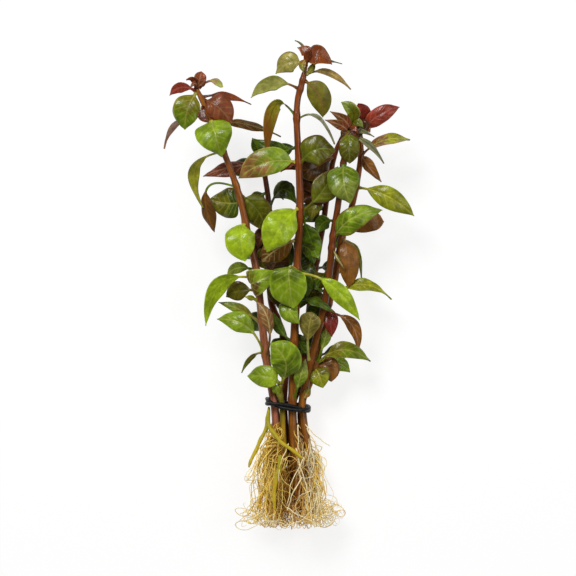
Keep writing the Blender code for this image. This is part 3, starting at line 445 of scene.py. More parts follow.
# Small leaves, one piece with the stem that they grow from.
SMALL_LEAVES = {
    "left_stem": [
        Leaf(99.5, (-43.8, 103.8, 40), (-43, 107.6, 40), 6.2, 0.2, "round", "bud"),
        Leaf(98, (-53, 99.8, 38), (-59, 96, 34), 5.5, 0.2, "oval", "crimson", 20),
        Leaf(99.5, (-38, 103, 39), (-32.5, 99.9, 37), 4.2, 0.2, "spoon", "bud to green", 20),
        Leaf(85, (-55, 83, 31), (-62, 69.5, 27), 6, 0.2, "lance", "pink lance", 68),
        Leaf(94.5, (-31, 95.5, 38), (-18.2, 91.3, 36), 4.6, 0.2, "tailed", "dark rust", 20),
        Leaf(91, (-42.6, 86, 41), (-39.5, 82, 41), 4.5, 0.2, "lance", "dark rust"),
        Leaf(9, (-25, 10.2, 25), (-30.7, 6.2, 22), 5.8, -0.1, "oval", "grey green"),
        Leaf(-1, (-25, -1.5, 25), (-31, -4.5, 22), 10, -0.1, "oval", "bronze olive"),
        Leaf(-17, (-23.5, -11.2, 25), (-35, -7.2, 22), 5.6, 0.1, "lance", "olive green"),
        Leaf(-32.5, (-18.5, -35, 18), (-23.5, -43, 14), 3.4, 0.2, "lance", "olive green", 40),
    ],
    "middle_stem": [
        Leaf(114, (7.4, 119.8, 44), (3.3, 122.6, 44), 1.5, 0.2, "lance", "grey", 30),
        Leaf(112, (9.4, 116.4, 46), (4.6, 119.0, 44.5), 6.2, 0.2, "oval", "red orange"),
        Leaf(106, (20, 106.8, 42), (31.3, 98.6, 38), 4.5, 0.2, "lance", "bronze", 30),
        Leaf(113.5, (7.3, 110.8, 47), (7.8, 106.6, 46.5), 3.8, 0.2, "oval", "rusty olive"),
        Leaf(84, (14.8, 84.6, 42), (23.2, 71, 44), 4.4, 0.2, "lance", "grey", 60),
        Leaf(-6, (13.5, -6.6, 31), (23, -12.5, 29), 7, 0.2, "lance", "deep", 50),
        Leaf(-4, (0.5, -10.5, 34), (5.8, -17.8, 33), 9.5, -0.2, "broad", "green"),
        Leaf(-27, (-4.6, -20, 23), (-7.2, -12, 22), 5.5, 0.1, "lance", "deep"),
        Leaf(-56, (5.7, -46.5, 25), (8.8, -35.8, 25), 7, 0.1, "stalked", "grey green"),
    ],
    "right_stem": [
        Leaf(81.5, (32.3, 86.8, 46), (26.3, 92.0, 45), 6.8, -0.1, "round", "striped", 15, 20),
        Leaf(75, (39.4, 72, 40), (47.8, 61.8, 37), 4.0, 0.1, "lance", "grey", 30),
        Leaf(20, (24.6, 15, 34), (28, 9.6, 34), 2.2, 0.1, "lance", "olive brown"),
    ],
    "outer_stem": [
        Leaf(82, (36.4, 87.5, 35), (35, 92, 36), 9.4, 0.1, "heart", "dark crimson"),
        Leaf(75, (35.6, 78.2, 40), (43, 75, 39), 2.8, 0.1, "lance", "grey"),
        Leaf(67, (39.5, 61.8, 33), (46.8, 53, 29), 6.4, 0.2, "oval", "red brown", 150),
        Leaf(29, (40.5, 32.6, 27), (48, 33.2, 24), 9.2, 0.1, "blunt", "amber", 180),
        Leaf(24, (34.6, 18.8, 21), (37, 4, 17), 3.6, 0.1, "lance", "olive green", 30),
        Leaf(-8, (21.6, -15.5, 24), (22, -24.6, 23), 7.4, -0.1, "oval", "dark crimson"),
        Leaf(-38, (18.2, -27, 20), (19.5, -20, 20), 5.6, 0.1, "stalked", "grey green"),
        Leaf(-42, (23.5, -37.8, 14), (31.4, -42.8, 11), 8.6, -0.1, "broad", "lime"),
        Leaf(-40, (20.0, -39.8, 17), (21.8, -47.4, 16), 12.6, -0.1, "round", "rusty amber"),
        Leaf(-41, (15.4, -43.2, 19), (17.6, -50.4, 18.6), 10.6, -0.1, "round", "yellow olive"),
    ],
    "back_right_stem": [
        Leaf(79, (31, 84.5, 30), (33.5, 87.5, 33), 5, 0.2, "oval", "dark rust"),
        Leaf(77, (31.5, 80.5, 30), (35.0, 77.0, 32), 5, 0.2, "oval", "maroon"),
        Leaf(45, (14, 42, 25), (11.5, 33.5, 24), 8, -0.1, "oval", "dark olive"),
        Leaf(14, (10, 8, 21), (9.5, -6, 20), 9, -0.1, "oval", "dark"),
    ],
    "back_left_stem": [
        Leaf(66, (-15.5, 71, 20), (-18, 75.5, 20), 6, 0.1, "small", "dark"),
        Leaf(68, (-3, 69.5, 21), (3, 71, 20), 7, 0.1, "oval", "dark"),
        Leaf(61, (-3, 62.5, 24), (4.5, 59, 24), 6, 0.1, "lance", "maroon"),
        Leaf(41, (-2.5, 49.5, 23), (4.5, 42, 21), 10, -0.1, "oval", "dark"),
        Leaf(6, (-5, 15, 21), (0, 21, 22), 12, -0.1, "broad", "dusky brown", 180),
        Leaf(9, (-13.5, 14, 17), (-14, 20, 18), 6, 0.1, "small", "olive"),
    ],
    "short_stem": [
        Leaf(-54, (-6, -51, 24), (-6.5, -48, 24), 4, 0.1, "small", "fresh"),
    ],
}

# Leaves that only the scene has: buds at the shoot tips and dark leaves deep in the bunch.
EXTRA_LEAVES = {
    "left_stem": [
        Leaf(99, (-47, 103.4, 40.5), (-50.6, 103.2, 41), 3, 0.2, "small", "dark rust", 20),
        Leaf(100, (-46.5, 101.5, 42), (-48.5, 99, 43), 2.6, 0.2, "small", "rust", 20),
        Leaf(100.5, (-42.5, 101.5, 42), (-40.8, 103.6, 43), 3.2, 0.2, "small", "rust"),
        Leaf(-6, (-18.3, -5, 27), (-21.5, -4.5, 26), 3, 0.2, "lance", "yellow green", 20),
    ],
    "middle_stem": [
        Leaf(112.5, (18, 112.8, 44), (27, 111, 43), 2.2, 0.2, "tailed", "grey"),
        Leaf(106, (11.6, 108.6, 44), (13, 111.8, 45), 3.4, 0.2, "small", "olive"),
        Leaf(110, (9.5, 114.5, 47), (11, 117.5, 48), 4, 0.2, "oval", "dark rust"),
        Leaf(61, (0.5, 61, 41), (-3.6, 57.6, 39), 3.4, 0.2, "lance", "dark rust"),
        Leaf(70, (-6, 68.8, 33), (-18, 74.8, 31), 8, -0.1, "oval", "deep"),
        Leaf(24, (-6, 19, 32), (-13, 13, 30), 12, -0.1, "broad", "amber"),
        Leaf(21, (11, 19, 27), (13, 12, 25), 7, -0.1, "broad", "dark"),
        Leaf(10, (9, 3, 27), (9.5, -4, 26), 7, -0.1, "broad", "deep"),
        Leaf(-22, (6, -28, 20), (9.5, -33, 19), 8, -0.1, "broad", "dark"),
    ],
    "right_stem": [
        Leaf(81, (34.2, 82.2, 43.5), (37.2, 79.6, 43), 4.2, -0.2, "small", "striped"),
        Leaf(79, (28.8, 82.5, 42.5), (20.8, 87.6, 42), 5.6, 0.2, "oval", "red brown", 20),
        Leaf(80, (32.5, 79.5, 43), (34.5, 76.5, 43.5), 3.2, 0.2, "small", "dark rust"),
        Leaf(78, (32.2, 77, 41.5), (34.5, 72.5, 41), 6, 0.2, "oval", "maroon"),
        Leaf(77, (29, 77, 41.5), (27.4, 72, 41), 5.5, 0.2, "oval", "dusky brown"),
        Leaf(33, (18, 33, 26), (14.5, 27, 25), 8, -0.1, "oval", "deep"),
        Leaf(8, (16, 4, 24), (12, -3, 23), 8.5, -0.1, "oval", "bronze olive"),
        Leaf(-8, (14, -11, 21), (10, -17, 20), 8, -0.1, "oval", "deep"),
        Leaf(77.5, (27, 80.2, 43), (18.2, 83.4, 42), 5, 0.2, "oval", "red brown", 20),
        Leaf(-2, (14, 1.5, 24), (18.5, 6, 25), 5, 0.1, "lance", "deep"),
        Leaf(-56, (9.3, -53, 19), (11.6, -50.4, 18.5), 4.2, 0.2, "small", "rusty olive"),
    ],
    "outer_stem": [
        Leaf(81, (39, 80.5, 33), (41, 77.5, 34), 4, 0.2, "small", "dark rust"),
        Leaf(80, (38, 84, 34), (35, 74.5, 34), 8.5, -0.1, "broad", "maroon"),
        Leaf(30, (26, 26, 20), (22, 19, 19), 7, -0.1, "oval", "dark"),
    ],
    "back_right_stem": [
        Leaf(66, (13, 60, 33), (5.5, 59, 31), 14, -0.1, "broad", "dusky brown"),
        Leaf(52, (14, 48, 25), (6, 44, 25), 15, -0.1, "broad", "maroon"),
        Leaf(40, (12, 38, 21), (7, 33, 21), 11, -0.1, "oval", "dark"),
        Leaf(30, (9, 24, 21), (7.5, 14, 22), 11, -0.1, "broad", "deep"),
        Leaf(22, (10, 16, 18), (8, 8, 18), 10, -0.1, "broad", "dark"),
        Leaf(0, (14, -4, 19), (15, -13, 19), 8, -0.1, "oval", "bronze olive"),
        Leaf(2, (9, -3, 16), (5, -11, 16), 8, -0.1, "oval", "dark"),
        Leaf(-20, (12, -27, 15), (8, -33.5, 16), 8, -0.1, "broad", "dark"),
        Leaf(-38, (3.5, -41, 15), (1, -46, 16), 6, -0.1, "oval", "maroon"),
    ],
    "back_left_stem": [
        Leaf(30, (-3, 22, 16), (2, 11, 18), 11, -0.1, "broad", "dark"),
        Leaf(14, (-2.5, 10, 15), (4, 5, 17), 9, -0.1, "oval", "dark"),
        Leaf(36, (-6, 28, 19), (2, 20, 20), 12, -0.1, "broad", "dark"),
        Leaf(8, (-6, -2, 17), (-1, -9, 18), 9, -0.1, "oval", "bronze olive"),
        Leaf(32, (-13, 27, 19), (-15, 20, 19), 7, -0.1, "oval", "maroon"),
        Leaf(-4, (-3, -7, 15), (2.5, -12, 17), 7, -0.1, "oval", "dark"),
        Leaf(-24, (-5, -28, 15), (-8.5, -33, 16), 6.5, -0.1, "oval", "dark"),
        Leaf(-30, (2, -33.5, 15), (4.5, -39, 17), 6.5, -0.1, "oval", "maroon"),
        Leaf(48, (-15, 44, 17), (-12, 36, 18), 9, -0.1, "broad", "dark"),
        Leaf(26, (-15, 21, 16), (-14, 13, 18), 7, -0.1, "oval", "maroon"),
    ],
    "short_stem": [],
}

# Tufts of threads: the first and the last angle at which they leave their stems, 0 to the right and
# 90 upward, how many there are, the stems that they grow from and their paints.
TUFTS = {
    "right_roots": Tuft(-36.0, 72.0, 190, ("right_stem", "outer_stem", "middle_stem"),
                        "root cream", "root straw"),
    "front_roots": Tuft(60.0, 120.0, 20, ("middle_stem", "short_stem"), "root gold", "root straw"),
    "left_roots": Tuft(108.0, 216.0, 210, ("left_stem", "short_stem", "back_left_stem"),
                       "root gold", "root ochre"),
    "floor_roots": Tuft(216.0, 324.0, 250, ("back_left_stem", "back_right_stem", "outer_stem"),
                        "root gold", "root ochre"),
}

# The outside of the mass of roots, from the tie down.
ROOT_ROWS = [
    RootRow(-66.0, 10.2, 7.5), RootRow(-71.0, 12.0, 9.5), RootRow(-76.0, 14.6, 11.5),
    RootRow(-91.0, 18.6, 14.6), RootRow(-106.0, 20.9, 15.4), RootRow(-121.0, 22.6, 15.6),
]

RUNNERS = {
    "long_runner": [
        (-9.9, -60.0, 17.5), (-9.4, -69.0, 24.0), (-4.5, -76.0, 28.5), (2.0, -81.0, 30.8),
        (7.5, -85.0, 31.8)],
    "side_runner": [
        (-9.7, -62.5, 17.0), (-10.6, -69.0, 20.0), (-13.2, -75.5, 22.0), (-16.8, -82.5, 24.0),
        (-19.6, -90.0, 25.5)],
    "short_runner": [
        (-3.5, -83.5, 29.5), (-4.8, -91.0, 30.0), (-6.4, -97.0, 30.2), (-6.8, -111.0, 29.5)],
}

# Pale strands that lie on the outside of the threads.
STRANDS = [
    [(4.7, -69.0, 23.0), (4.9, -75.0, 25.5), (4.6, -81.0, 27.5)],
    [(7.8, -85.0, 31.0), (5.0, -90.0, 30.5), (2.6, -95.0, 30.3), (0.8, -101.0, 30.5),
     (-0.4, -108.0, 30.5)],
    [(7.0, -95.0, 29.5), (3.5, -101.0, 31.0), (1.2, -106.0, 31.0), (-0.5, -111.0, 30.5)],
    [(3.8, -80.0, 28.0), (6.0, -88.0, 30.5), (8.4, -96.0, 31.2), (10.2, -105.0, 31.2),
     (12.5, -115.0, 30.0)],
    [(0.4, -78.0, 28.0), (-1.6, -82.5, 29.5), (-3.6, -88.0, 30.5), (-4.6, -97.0, 31.0)],
    [(-0.5, -110.0, 30.6), (4.0, -113.0, 30.8), (9.0, -115.0, 30.6), (15.0, -118.0, 29.0)],
    [(-14.0, -115.5, 28.0), (-7.0, -117.2, 29.5), (0.0, -117.8, 30.2), (6.0, -116.8, 30.4),
     (10.5, -112.5, 30.6)],
    [(-13.0, -112.5, 28.0), (-18.5, -115.5, 26.0), (-23.5, -117.0, 23.5), (-26.3, -119.0, 22.0),
     (-24.5, -121.0, 21.5), (-19.5, -121.0, 22.5), (-14.5, -118.5, 25.0)],
    [(9.5, -71.0, 21.5), (12.6, -76.5, 23.5), (15.5, -83.0, 24.0), (17.6, -91.0, 24.0),
     (17.2, -99.0, 24.5)],
    [(-10.5, -73.0, 22.0), (-13.0, -80.0, 23.5), (-15.6, -88.0, 24.5), (-16.5, -97.0, 25.0)],
    [(8.5, -68.0, 18.0), (13.5, -74.0, 20.0), (21.5, -80.0, 19.0)],
]

# Where part.py's origin lies: its bunch was moved to stand on the frame's, and the tips that reach
# furthest right and furthest up in its own tables show how far.
PLAN_RIGHT = 63.0
PLAN_TOP = 123.8
HOME = Vector((CAD_BOX[1][0] - PLAN_RIGHT * MM, CAD_BOX[1][1] - PLAN_TOP * MM, 0.0))

SLOTS = {part["node"]: part["material_slot"] for part in frame["record"]["subparts"]}


class Shape:
    """Points, faces and what the paints need to know about them, gathered before they are a mesh."""

    def __init__(self):
        self.points = []
        self.faces = []
        self.skins = []
        self.marks = []
        self.places = []
        self.materials = []

    def add(self, points, faces, skin, marks, places):
        """Add a closed surface: marks and places are one vector for each point."""
        if skin not in self.materials:
            self.materials.append(skin)
        first = len(self.points)
        self.points += points
        self.faces += [[first + corner for corner in face] for face in faces]
        self.skins += [self.materials.index(skin)] * len(faces)
        self.marks += marks
        self.places += places

    def add_tube(self, centres, radii, sides, skin, ring_marks):
        """Add a tube with one mark for each centre, painted by where its points lie."""
        points = tube(centres, radii, sides)
        marks = [mark for mark in ring_marks for _ in range(sides)]
        self.add(points, ring_faces(len(centres), sides), skin, marks, [tuple(point) for point in points])

    def piece(self, name, replaced=None):
        """Make the object, which rides on the bunch and stands for a node of part.py."""
        mesh = bpy.data.meshes.new(name)
        mesh.from_pydata([HOME + point * MM for point in self.points], [], self.faces)
        for skin in self.materials:
            mesh.materials.append(skin)
        mesh.polygons.foreach_set("material_index", self.skins)
        for title, vectors in (("marks", self.marks), ("place", self.places)):
            layer = mesh.attributes.new(title, "FLOAT_VECTOR", "POINT")
            layer.data.foreach_set("vector", [part for vector in vectors for part in vector])
        mesh.shade_smooth()
        obj = bpy.data.objects.new(name, mesh)
        bpy.context.collection.objects.link(obj)
        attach(obj, "root")
        if replaced:
            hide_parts(replaced)


def clamp(value):
    """A value brought between 0 and 1."""
    return min(max(value, 0.0), 1.0)


def smooth_step(low, high, value):
    share = clamp((value - low) / (high - low))
    return share * share * (3 - 2 * share)


def hump(distance, half_width):
    """A smooth ridge, 1 high in its middle."""
    return math.exp(-(distance / half_width) ** 2)


def curve_point(points, y):
    """Where the smooth curve through points, listed by rising y, passes height y."""
    last = len(points) - 1
    index = 0
    while index < last - 1 and y > points[index + 1][1]:
        index += 1
    low, high = Vector(points[index]), Vector(points[index + 1])
    before = Vector(points[max(index - 1, 0)])
    after = Vector(points[min(index + 2, last)])
    span = high.y - low.y
    t = (y - low.y) / span
    low_slope = (high - before) * (span / (high.y - before.y))
    high_slope = (after - low) * (span / (after.y - low.y))
    point = low * (2 * t**3 - 3 * t**2 + 1)
    point += low_slope * (t**3 - 2 * t**2 + t)
    point += high * (3 * t**2 - 2 * t**3)
    point += high_slope * (t**3 - t**2)
    point.y = y
    return point


def smooth_path(points, steps):
    """The smooth curve through points, in equal steps from each to the next."""
    corners = [Vector(point) for point in points]
    path = []
    for index in range(len(corners) - 1):
        before = corners[max(index - 1, 0)]
        low, high = corners[index], corners[index + 1]
        after = corners[min(index + 2, len(corners) - 1)]
        for step in range(steps):
            t = step / steps
            linear = (high - before) * t
            square = (before * 2 - low * 5 + high * 4 - after) * t**2
            cube = (low * 3 - before - high * 3 + after) * t**3
            path.append(low + (linear + square + cube) / 2)
    return path + [corners[-1]]


def ring_faces(rings, sides, ends="closed"):
    """Faces of a tube whose rings are numbered one after the other, its ends closed, open or joined."""
    total = rings * sides
    faces = []
    for ring in range(rings if ends == "joined" else rings - 1):
        for side in range(sides):
            here = ring * sides + side
            beside = ring * sides + (side + 1) % sides
            faces.append([here, beside, (beside + sides) % total, (here + sides) % total])
    if ends == "closed":
        faces.append(list(reversed(range(sides))))
        faces.append(list(range(total - sides, total)))
    return faces


def ring_points(centre, along, across, radius, sides):
    """Points round a centre, the first one straight across."""
    up = across.cross(along)
    points = []
    for side in range(sides):
        angle = -FULL_TURN * side / sides
        points.append(centre + (across * math.cos(angle) + up * math.sin(angle)) * radius)
    return points


def tube(centres, radii, sides):
    """The points of a tube round a line of centres, with no twist from ring to ring."""
    points = []
    across = None
    for index, centre in enumerate(centres):
        ahead = centres[min(index + 1, len(centres) - 1)]
        behind = centres[max(index - 1, 0)]
        along = (ahead - behind).normalized()
        if across is None:
            across = along.cross(UP).normalized()
        across = (across - along * across.dot(along)).normalized()
        points += ring_points(centre, along, across, radii[index], sides)
    return points


def feed(tree, socket, source):
    """Give a socket a value or another node's output."""
    if isinstance(source, bpy.types.NodeSocket):
        tree.links.new(source, socket)
    else:
        socket.default_value = source


def feed_all(tree, sockets, sources):
    for socket, source in zip(sockets, sources):
        feed(tree, socket, source)


def add_node(tree, kind, *sources, **settings):
    """Add a node, set it, and feed its inputs in their order."""
    made = tree.nodes.new(kind)
    for name, value in settings.items():
        setattr(made, name, value)
    feed_all(tree, made.inputs, sources)
    return made


def calculate(tree, operation, *sources):
    return add_node(tree, "ShaderNodeMath", *sources, operation=operation).outputs[0]


def times(tree, first, second):
    return calculate(tree, "MULTIPLY", first, second)


def ramp(tree, value, low, high, start=0.0, end=1.0):
    """A soft step from start to end as value goes from low to high."""
    made = add_node(tree, "ShaderNodeMapRange", value, low, high, start, end,
                    interpolation_type="SMOOTHSTEP")
    return made.outputs[0]


def mix(tree, share, first, second):
    """A colour between first and second."""
    made = add_node(tree, "ShaderNodeMix", data_type="RGBA")
    share_socket, first_socket, second_socket = made.inputs[0], made.inputs[6], made.inputs[7]
    feed_all(tree, (share_socket, first_socket, second_socket), (share, first, second))
    return made.outputs[2]


def shade(tree, colour, value):
    """A colour made lighter or darker by a value."""
    scaled = add_node(tree, "ShaderNodeVectorMath", colour, operation="SCALE")
    feed(tree, scaled.inputs["Scale"], value)
    return scaled.outputs[0]


def grain(tree, place, scale, detail=2.0, rough=0.5):
    """A cloudy value from 0 to 1."""
    made = add_node(tree, "ShaderNodeTexNoise", place)
    made.inputs["Scale"].default_value = scale
    made.inputs["Detail"].default_value = detail
    made.inputs["Roughness"].default_value = rough
    return made.outputs[0]


def attribute(tree, name):
    return add_node(tree, "ShaderNodeAttribute", attribute_name=name).outputs["Vector"]


def split(tree, vector):
    """A vector's three parts."""
    return add_node(tree, "ShaderNodeSeparateXYZ", vector).outputs


def new_group(name, colours):
    """A shader group with colour inputs, which puts out colour, roughness and relief."""
    group = bpy.data.node_groups.new(name, "ShaderNodeTree")
    for colour in colours:
        group.interface.new_socket(name=colour, in_out="INPUT", socket_type="NodeSocketColor")
    for title, kind in (("colour", "Color"), ("roughness", "Float"), ("relief", "Float")):
        group.interface.new_socket(name=title, in_out="OUTPUT", socket_type="NodeSocket" + kind)
    return group, group.nodes.new("NodeGroupInput").outputs, group.nodes.new("NodeGroupOutput").inputs


# The spans of a cloudy value that a ramp follows, from most of it to the middle.
CLOUD_WIDE = (0.2, 0.8)
CLOUD = (0.25, 0.75)
CLOUD_NARROW = (0.3, 0.7)

# Where a blade's veins fade, in the units of what they are read from, and how far each kind shows:
# the midrib first, then the side veins.
MIDRIB_SIDES = (0.15, 0.50)
MIDRIB_END = (0.75, 1.0)
MIDRIB_AT_TIP = 0.2
SIDE_VEIN_SIDES = (0.03, 0.17)
SIDE_VEIN_END = (0.65, 0.95)
VEINS_ABOVE = (0.70, 0.42)
VEINS_BELOW = (0.8, 0.5)


def vein_masks(tree, along, reach, from_midrib):
    """Where a blade's midrib is, and where its side veins are."""
    midrib = ramp(tree, from_midrib, *MIDRIB_SIDES, 1.0, 0.0)
    midrib = times(tree, midrib, ramp(tree, along, *MIDRIB_END, 1.0, MIDRIB_AT_TIP))
    lane = calculate(tree, "SUBTRACT", times(tree, along, SIDE_VEINS), times(tree, reach, VEIN_SWEEP))
    side_vein = ramp(tree, calculate(tree, "PINGPONG", lane, 0.5), *SIDE_VEIN_SIDES, 1.0, 0.0)
    side_vein = times(tree, side_vein, ramp(tree, reach, *SIDE_VEIN_END, 1.0, 0.0))
    return midrib, side_vein


def show_veins(tree, masks, strengths):
    shown = [times(tree, mask, strength) for mask, strength in zip(masks, strengths)]
    return calculate(tree, "MAXIMUM", *shown)


BLOTCH_SCALE = 0.22
CELL_SCALE = 1.1
PATCH_SCALE = 0.7
TONE_DRIFT = 0.9              # how far blotches shift the change from one tone to the other
TONE_CHANGE = (0.30, 0.72)
PATCHES = (0.50, 0.75)        # where patches in the veins' colour show, and how strongly
PATCH_STRENGTH = 0.26
PATCH_SIDES = (0.2, 0.9)
PATCH_AT_EDGE = 0.3
RIM = (0.92, 1.10)            # where the edge's own colour starts, and where it is full
RIM_STRENGTH = 0.75
RIM_DRIFT = 0.2
STALK_END = (-0.04, 0.08)
BLOTCH_SHADES = (0.66, 1.22)
PATCH_SHADES = (0.84, 1.14)
UPPER_ROUGHNESS = (0.23, 0.40)
LOWER_DULLNESS = 0.20
VEIN_RELIEF = 0.5


def leaf_paint():
    """A blade's paint: two tones from stalk to tip, veins, an edge, and another paint underneath."""
    tree, given, result = new_group("leaf paint", Look._fields)
    along, across, under = split(tree, attribute(tree, "marks"))
    place = attribute(tree, "place")
    from_midrib = calculate(tree, "ABSOLUTE", split(tree, place)[0])
    reach = calculate(tree, "ABSOLUTE", across)
    blotches = grain(tree, place, BLOTCH_SCALE)
    cells = grain(tree, place, CELL_SCALE, detail=3.0, rough=0.6)
    patches = grain(tree, place, PATCH_SCALE, detail=3.0, rough=0.65)

    drift = calculate(tree, "MULTIPLY_ADD", blotches, TONE_DRIFT, -TONE_DRIFT / 2)
    fade = ramp(tree, calculate(tree, "ADD", along, drift), *TONE_CHANGE)
    blade = mix(tree, fade, given["base"], given["tip"])
    veins = vein_masks(tree, along, reach, from_midrib)
    fresh = times(tree, ramp(tree, patches, *PATCHES, 0.0, PATCH_STRENGTH),
                  ramp(tree, reach, *PATCH_SIDES, 1.0, PATCH_AT_EDGE))
    pale = calculate(tree, "MAXIMUM", show_veins(tree, veins, VEINS_ABOVE), fresh)
    upper = mix(tree, pale, blade, given["vein"])
    edge = calculate(tree, "MULTIPLY_ADD", blotches, RIM_DRIFT, reach)
    upper = mix(tree, ramp(tree, edge, *RIM, 0.0, RIM_STRENGTH), upper, given["rim"])
    lower = mix(tree, show_veins(tree, veins, VEINS_BELOW), given["back"], given["back_vein"])
    painted = mix(tree, under, upper, lower)
    painted = mix(tree, ramp(tree, along, *STALK_END), given["stalk"], painted)
    light = times(tree, ramp(tree, blotches, *CLOUD, *BLOTCH_SHADES),
                  ramp(tree, patches, *CLOUD, *PATCH_SHADES))

    gloss = ramp(tree, cells, *CLOUD_WIDE, *UPPER_ROUGHNESS)
    roughness = calculate(tree, "MULTIPLY_ADD", under, LOWER_DULLNESS, gloss)
    relief = calculate(tree, "SUBTRACT", cells, times(tree, veins[1], VEIN_RELIEF))
    feed_all(tree, result, (shade(tree, painted, light), roughness, relief))
    return tree


STREAK_SCALE = 1.3
STREAK_STRETCH = 0.07         # a streak's width over its length
BARK_BLOTCH_SCALE = 0.10
BARK_DRIFT = 0.4              # how far blotches shift the change to the tip's colour
BARK_CHANGE = (0.35, 0.95)
JOINT_TINT = 0.6
STREAK_SHADES = (0.55, 1.38)
PAINTED_FLANK_SHADE = (0.45, 1.0)           # where painted shade starts to darken a stem towards its sides, and where it is darkest
PAINTED_FLANK_LEVELS = (1.08, 0.42)
BARK_ROUGHNESS = (0.38, 0.26)


def bark_paint():
    """A stem's paint: streaks along it, redder towards the tip, painted shade on its flanks, rings at its
    joints.
    """
    tree, given, result = new_group("bark paint", Bark._fields)
    rise, joint, flank_shade = split(tree, attribute(tree, "marks"))
    place = attribute(tree, "place")
    stretch = (1.0, STREAK_STRETCH, 1.0)
    stretched = add_node(tree, "ShaderNodeVectorMath", place, stretch, operation="MULTIPLY").outputs[0]
    streaks = grain(tree, stretched, STREAK_SCALE, detail=3.0, rough=0.65)
    blotches = grain(tree, place, BARK_BLOTCH_SCALE)
    fade = ramp(tree, calculate(tree, "MULTIPLY_ADD", blotches, BARK_DRIFT, rise), *BARK_CHANGE)
    bark = mix(tree, fade, given["low"], given["high"])
    bark = mix(tree, times(tree, joint, JOINT_TINT), bark, given["joint"])
    bark = shade(tree, bark, ramp(tree, streaks, *CLOUD, *STREAK_SHADES))
    # Painted shade: the stem is darkened towards its left and right sides.
    bark = shade(tree, bark, ramp(tree, flank_shade, *PAINTED_FLANK_SHADE, *PAINTED_FLANK_LEVELS))
    feed_all(tree, result, (bark, ramp(tree, streaks, *CLOUD_WIDE, *BARK_ROUGHNESS), streaks))
    return tree


ROOT_PATCH_SCALE = 0.35
TINTS = (0.35, 0.9)           # the tint below which a thread is pale, and from which it is deep
NEAR_STEM = 0.22              # the share of a thread that is browned by its stem, and how strongly
NEAR_STRENGTH = 0.7
BURIED_SHADE = (0.2, 0.75)          # how deep in the mass painted shade darkens a thread towards brown, and how strongly
BURIED_SHADE_STRENGTH = 0.85
ROOT_SHADES = (0.92, 1.15)
ROOT_ROUGHNESS = (0.45, 0.60)


def root_paint():
    """The threads' paint: each has its own tint, browner near its stem, and darkened by painted shade deep
    inside the mass.
    """
    tree, given, result = new_group("root paint", ("near", "pale", "deep"))
    down, tint, buried_shade = split(tree, attribute(tree, "marks"))
    patches = grain(tree, attribute(tree, "place"), ROOT_PATCH_SCALE)
    thread = mix(tree, ramp(tree, tint, *TINTS), given["pale"], given["deep"])
    thread = mix(tree, ramp(tree, down, 0.0, NEAR_STEM, NEAR_STRENGTH, 0.0), thread, given["near"])
    # Painted shade: threads that lie deep inside the mass are darkened towards brown.
    thread = mix(tree, ramp(tree, buried_shade, *BURIED_SHADE, 0.0, BURIED_SHADE_STRENGTH), thread, given["near"])
    thread = shade(tree, thread, ramp(tree, patches, *CLOUD, *ROOT_SHADES))
    feed_all(tree, result, (thread, ramp(tree, patches, *CLOUD_WIDE, *ROOT_ROUGHNESS), patches))
    return tree


DUST_SCALE = 0.8
DUST = (0.50, 0.85)
DUST_STRENGTH = 0.5
RUBBER_ROUGHNESS = (0.34, 0.55)
RUBBER_RELIEF_SCALE = 3.0


def rubber_paint():
    """Black rubber, a little dusty."""
    tree, given, result = new_group("rubber paint", ("black", "dust"))
    place = attribute(tree, "place")
    dust = grain(tree, place, DUST_SCALE, detail=4.0, rough=0.65)
    colour = mix(tree, ramp(tree, dust, *DUST, 0.0, DUST_STRENGTH), given["black"], given["dust"])
    roughness = ramp(tree, dust, *CLOUD_NARROW, *RUBBER_ROUGHNESS)
    feed_all(tree, result, (colour, roughness, grain(tree, place, RUBBER_RELIEF_SCALE)))
    return tree


LEAF_PAINT = leaf_paint()
BARK_PAINT = bark_paint()
ROOT_PAINT = root_paint()
RUBBER_PAINT = rubber_paint()


def new_finish(name, group, colours, relief_depth, coat=0.0):
    """A material whose colour, roughness and relief come from a group."""
    made = bpy.data.materials.new(name)
    made.use_nodes = True
    tree = made.node_tree
    shader = tree.nodes["Principled BSDF"]
    paint = tree.nodes.new("ShaderNodeGroup")
    paint.node_tree = group
    for socket, colour in zip(paint.inputs, colours):
        socket.default_value = (*PAINTS[colour], 1.0)
    bump = tree.nodes.new("ShaderNodeBump")
    bump.inputs["Distance"].default_value = relief_depth * MM
    tree.links.new(paint.outputs["relief"], bump.inputs["Height"])
    tree.links.new(bump.outputs["Normal"], shader.inputs["Normal"])
    tree.links.new(paint.outputs["colour"], shader.inputs["Base Color"])
    tree.links.new(paint.outputs["roughness"], shader.inputs["Roughness"])
    shader.inputs["Specular IOR Level"].default_value = SHEEN
    shader.inputs["Coat Weight"].default_value = coat
    shader.inputs["Coat Roughness"].default_value = COAT_ROUGHNESS
    return made


def leaf_finish(look):
    """One material for each look."""
    name = "leaf " + look
    made = bpy.data.materials.get(name)
    if made is None:
        made = new_finish(name, LEAF_PAINT, LOOKS[look], relief_depth=0.08, coat=0.16)
    return made


def thread_finish(name, pale, deep):
    return new_finish(name, ROOT_PAINT, ("root brown", pale, deep), relief_depth=0.05)


def stem_radius(stem, y):
    """A stem's radius at height y, without its swellings."""
    foot, top = stem.points[0][1], stem.points[-1][1]
    share = (y - foot) / (top - foot)
    return stem.foot_radius + (stem.top_radius - stem.foot_radius) * share**2


def stem_end(stem, y, radius):
    """The share of its thickness that a stem keeps near its top, where it thins to a rounded end."""
    top = stem.points[-1][1]
    thinning = 0.0 if stem.look == "green" else TOP_THINNING
    taper = 1 - thinning * smooth_step(top - TOP_LENGTH, top - TOP_TIP, y)
    return math.sqrt(min(1.0, max((top - y) / radius, TOP_BLUNTNESS))) * taper


def above_floor(height, half_thickness):
    """Bend a leaf gently so that its underside stays on or above the surface."""
    room = (height - half_thickness) / FLOOR_SOFTNESS
    return half_thickness + FLOOR_SOFTNESS * (max(room, 0.0) + math.log1p(math.exp(-abs(room))))


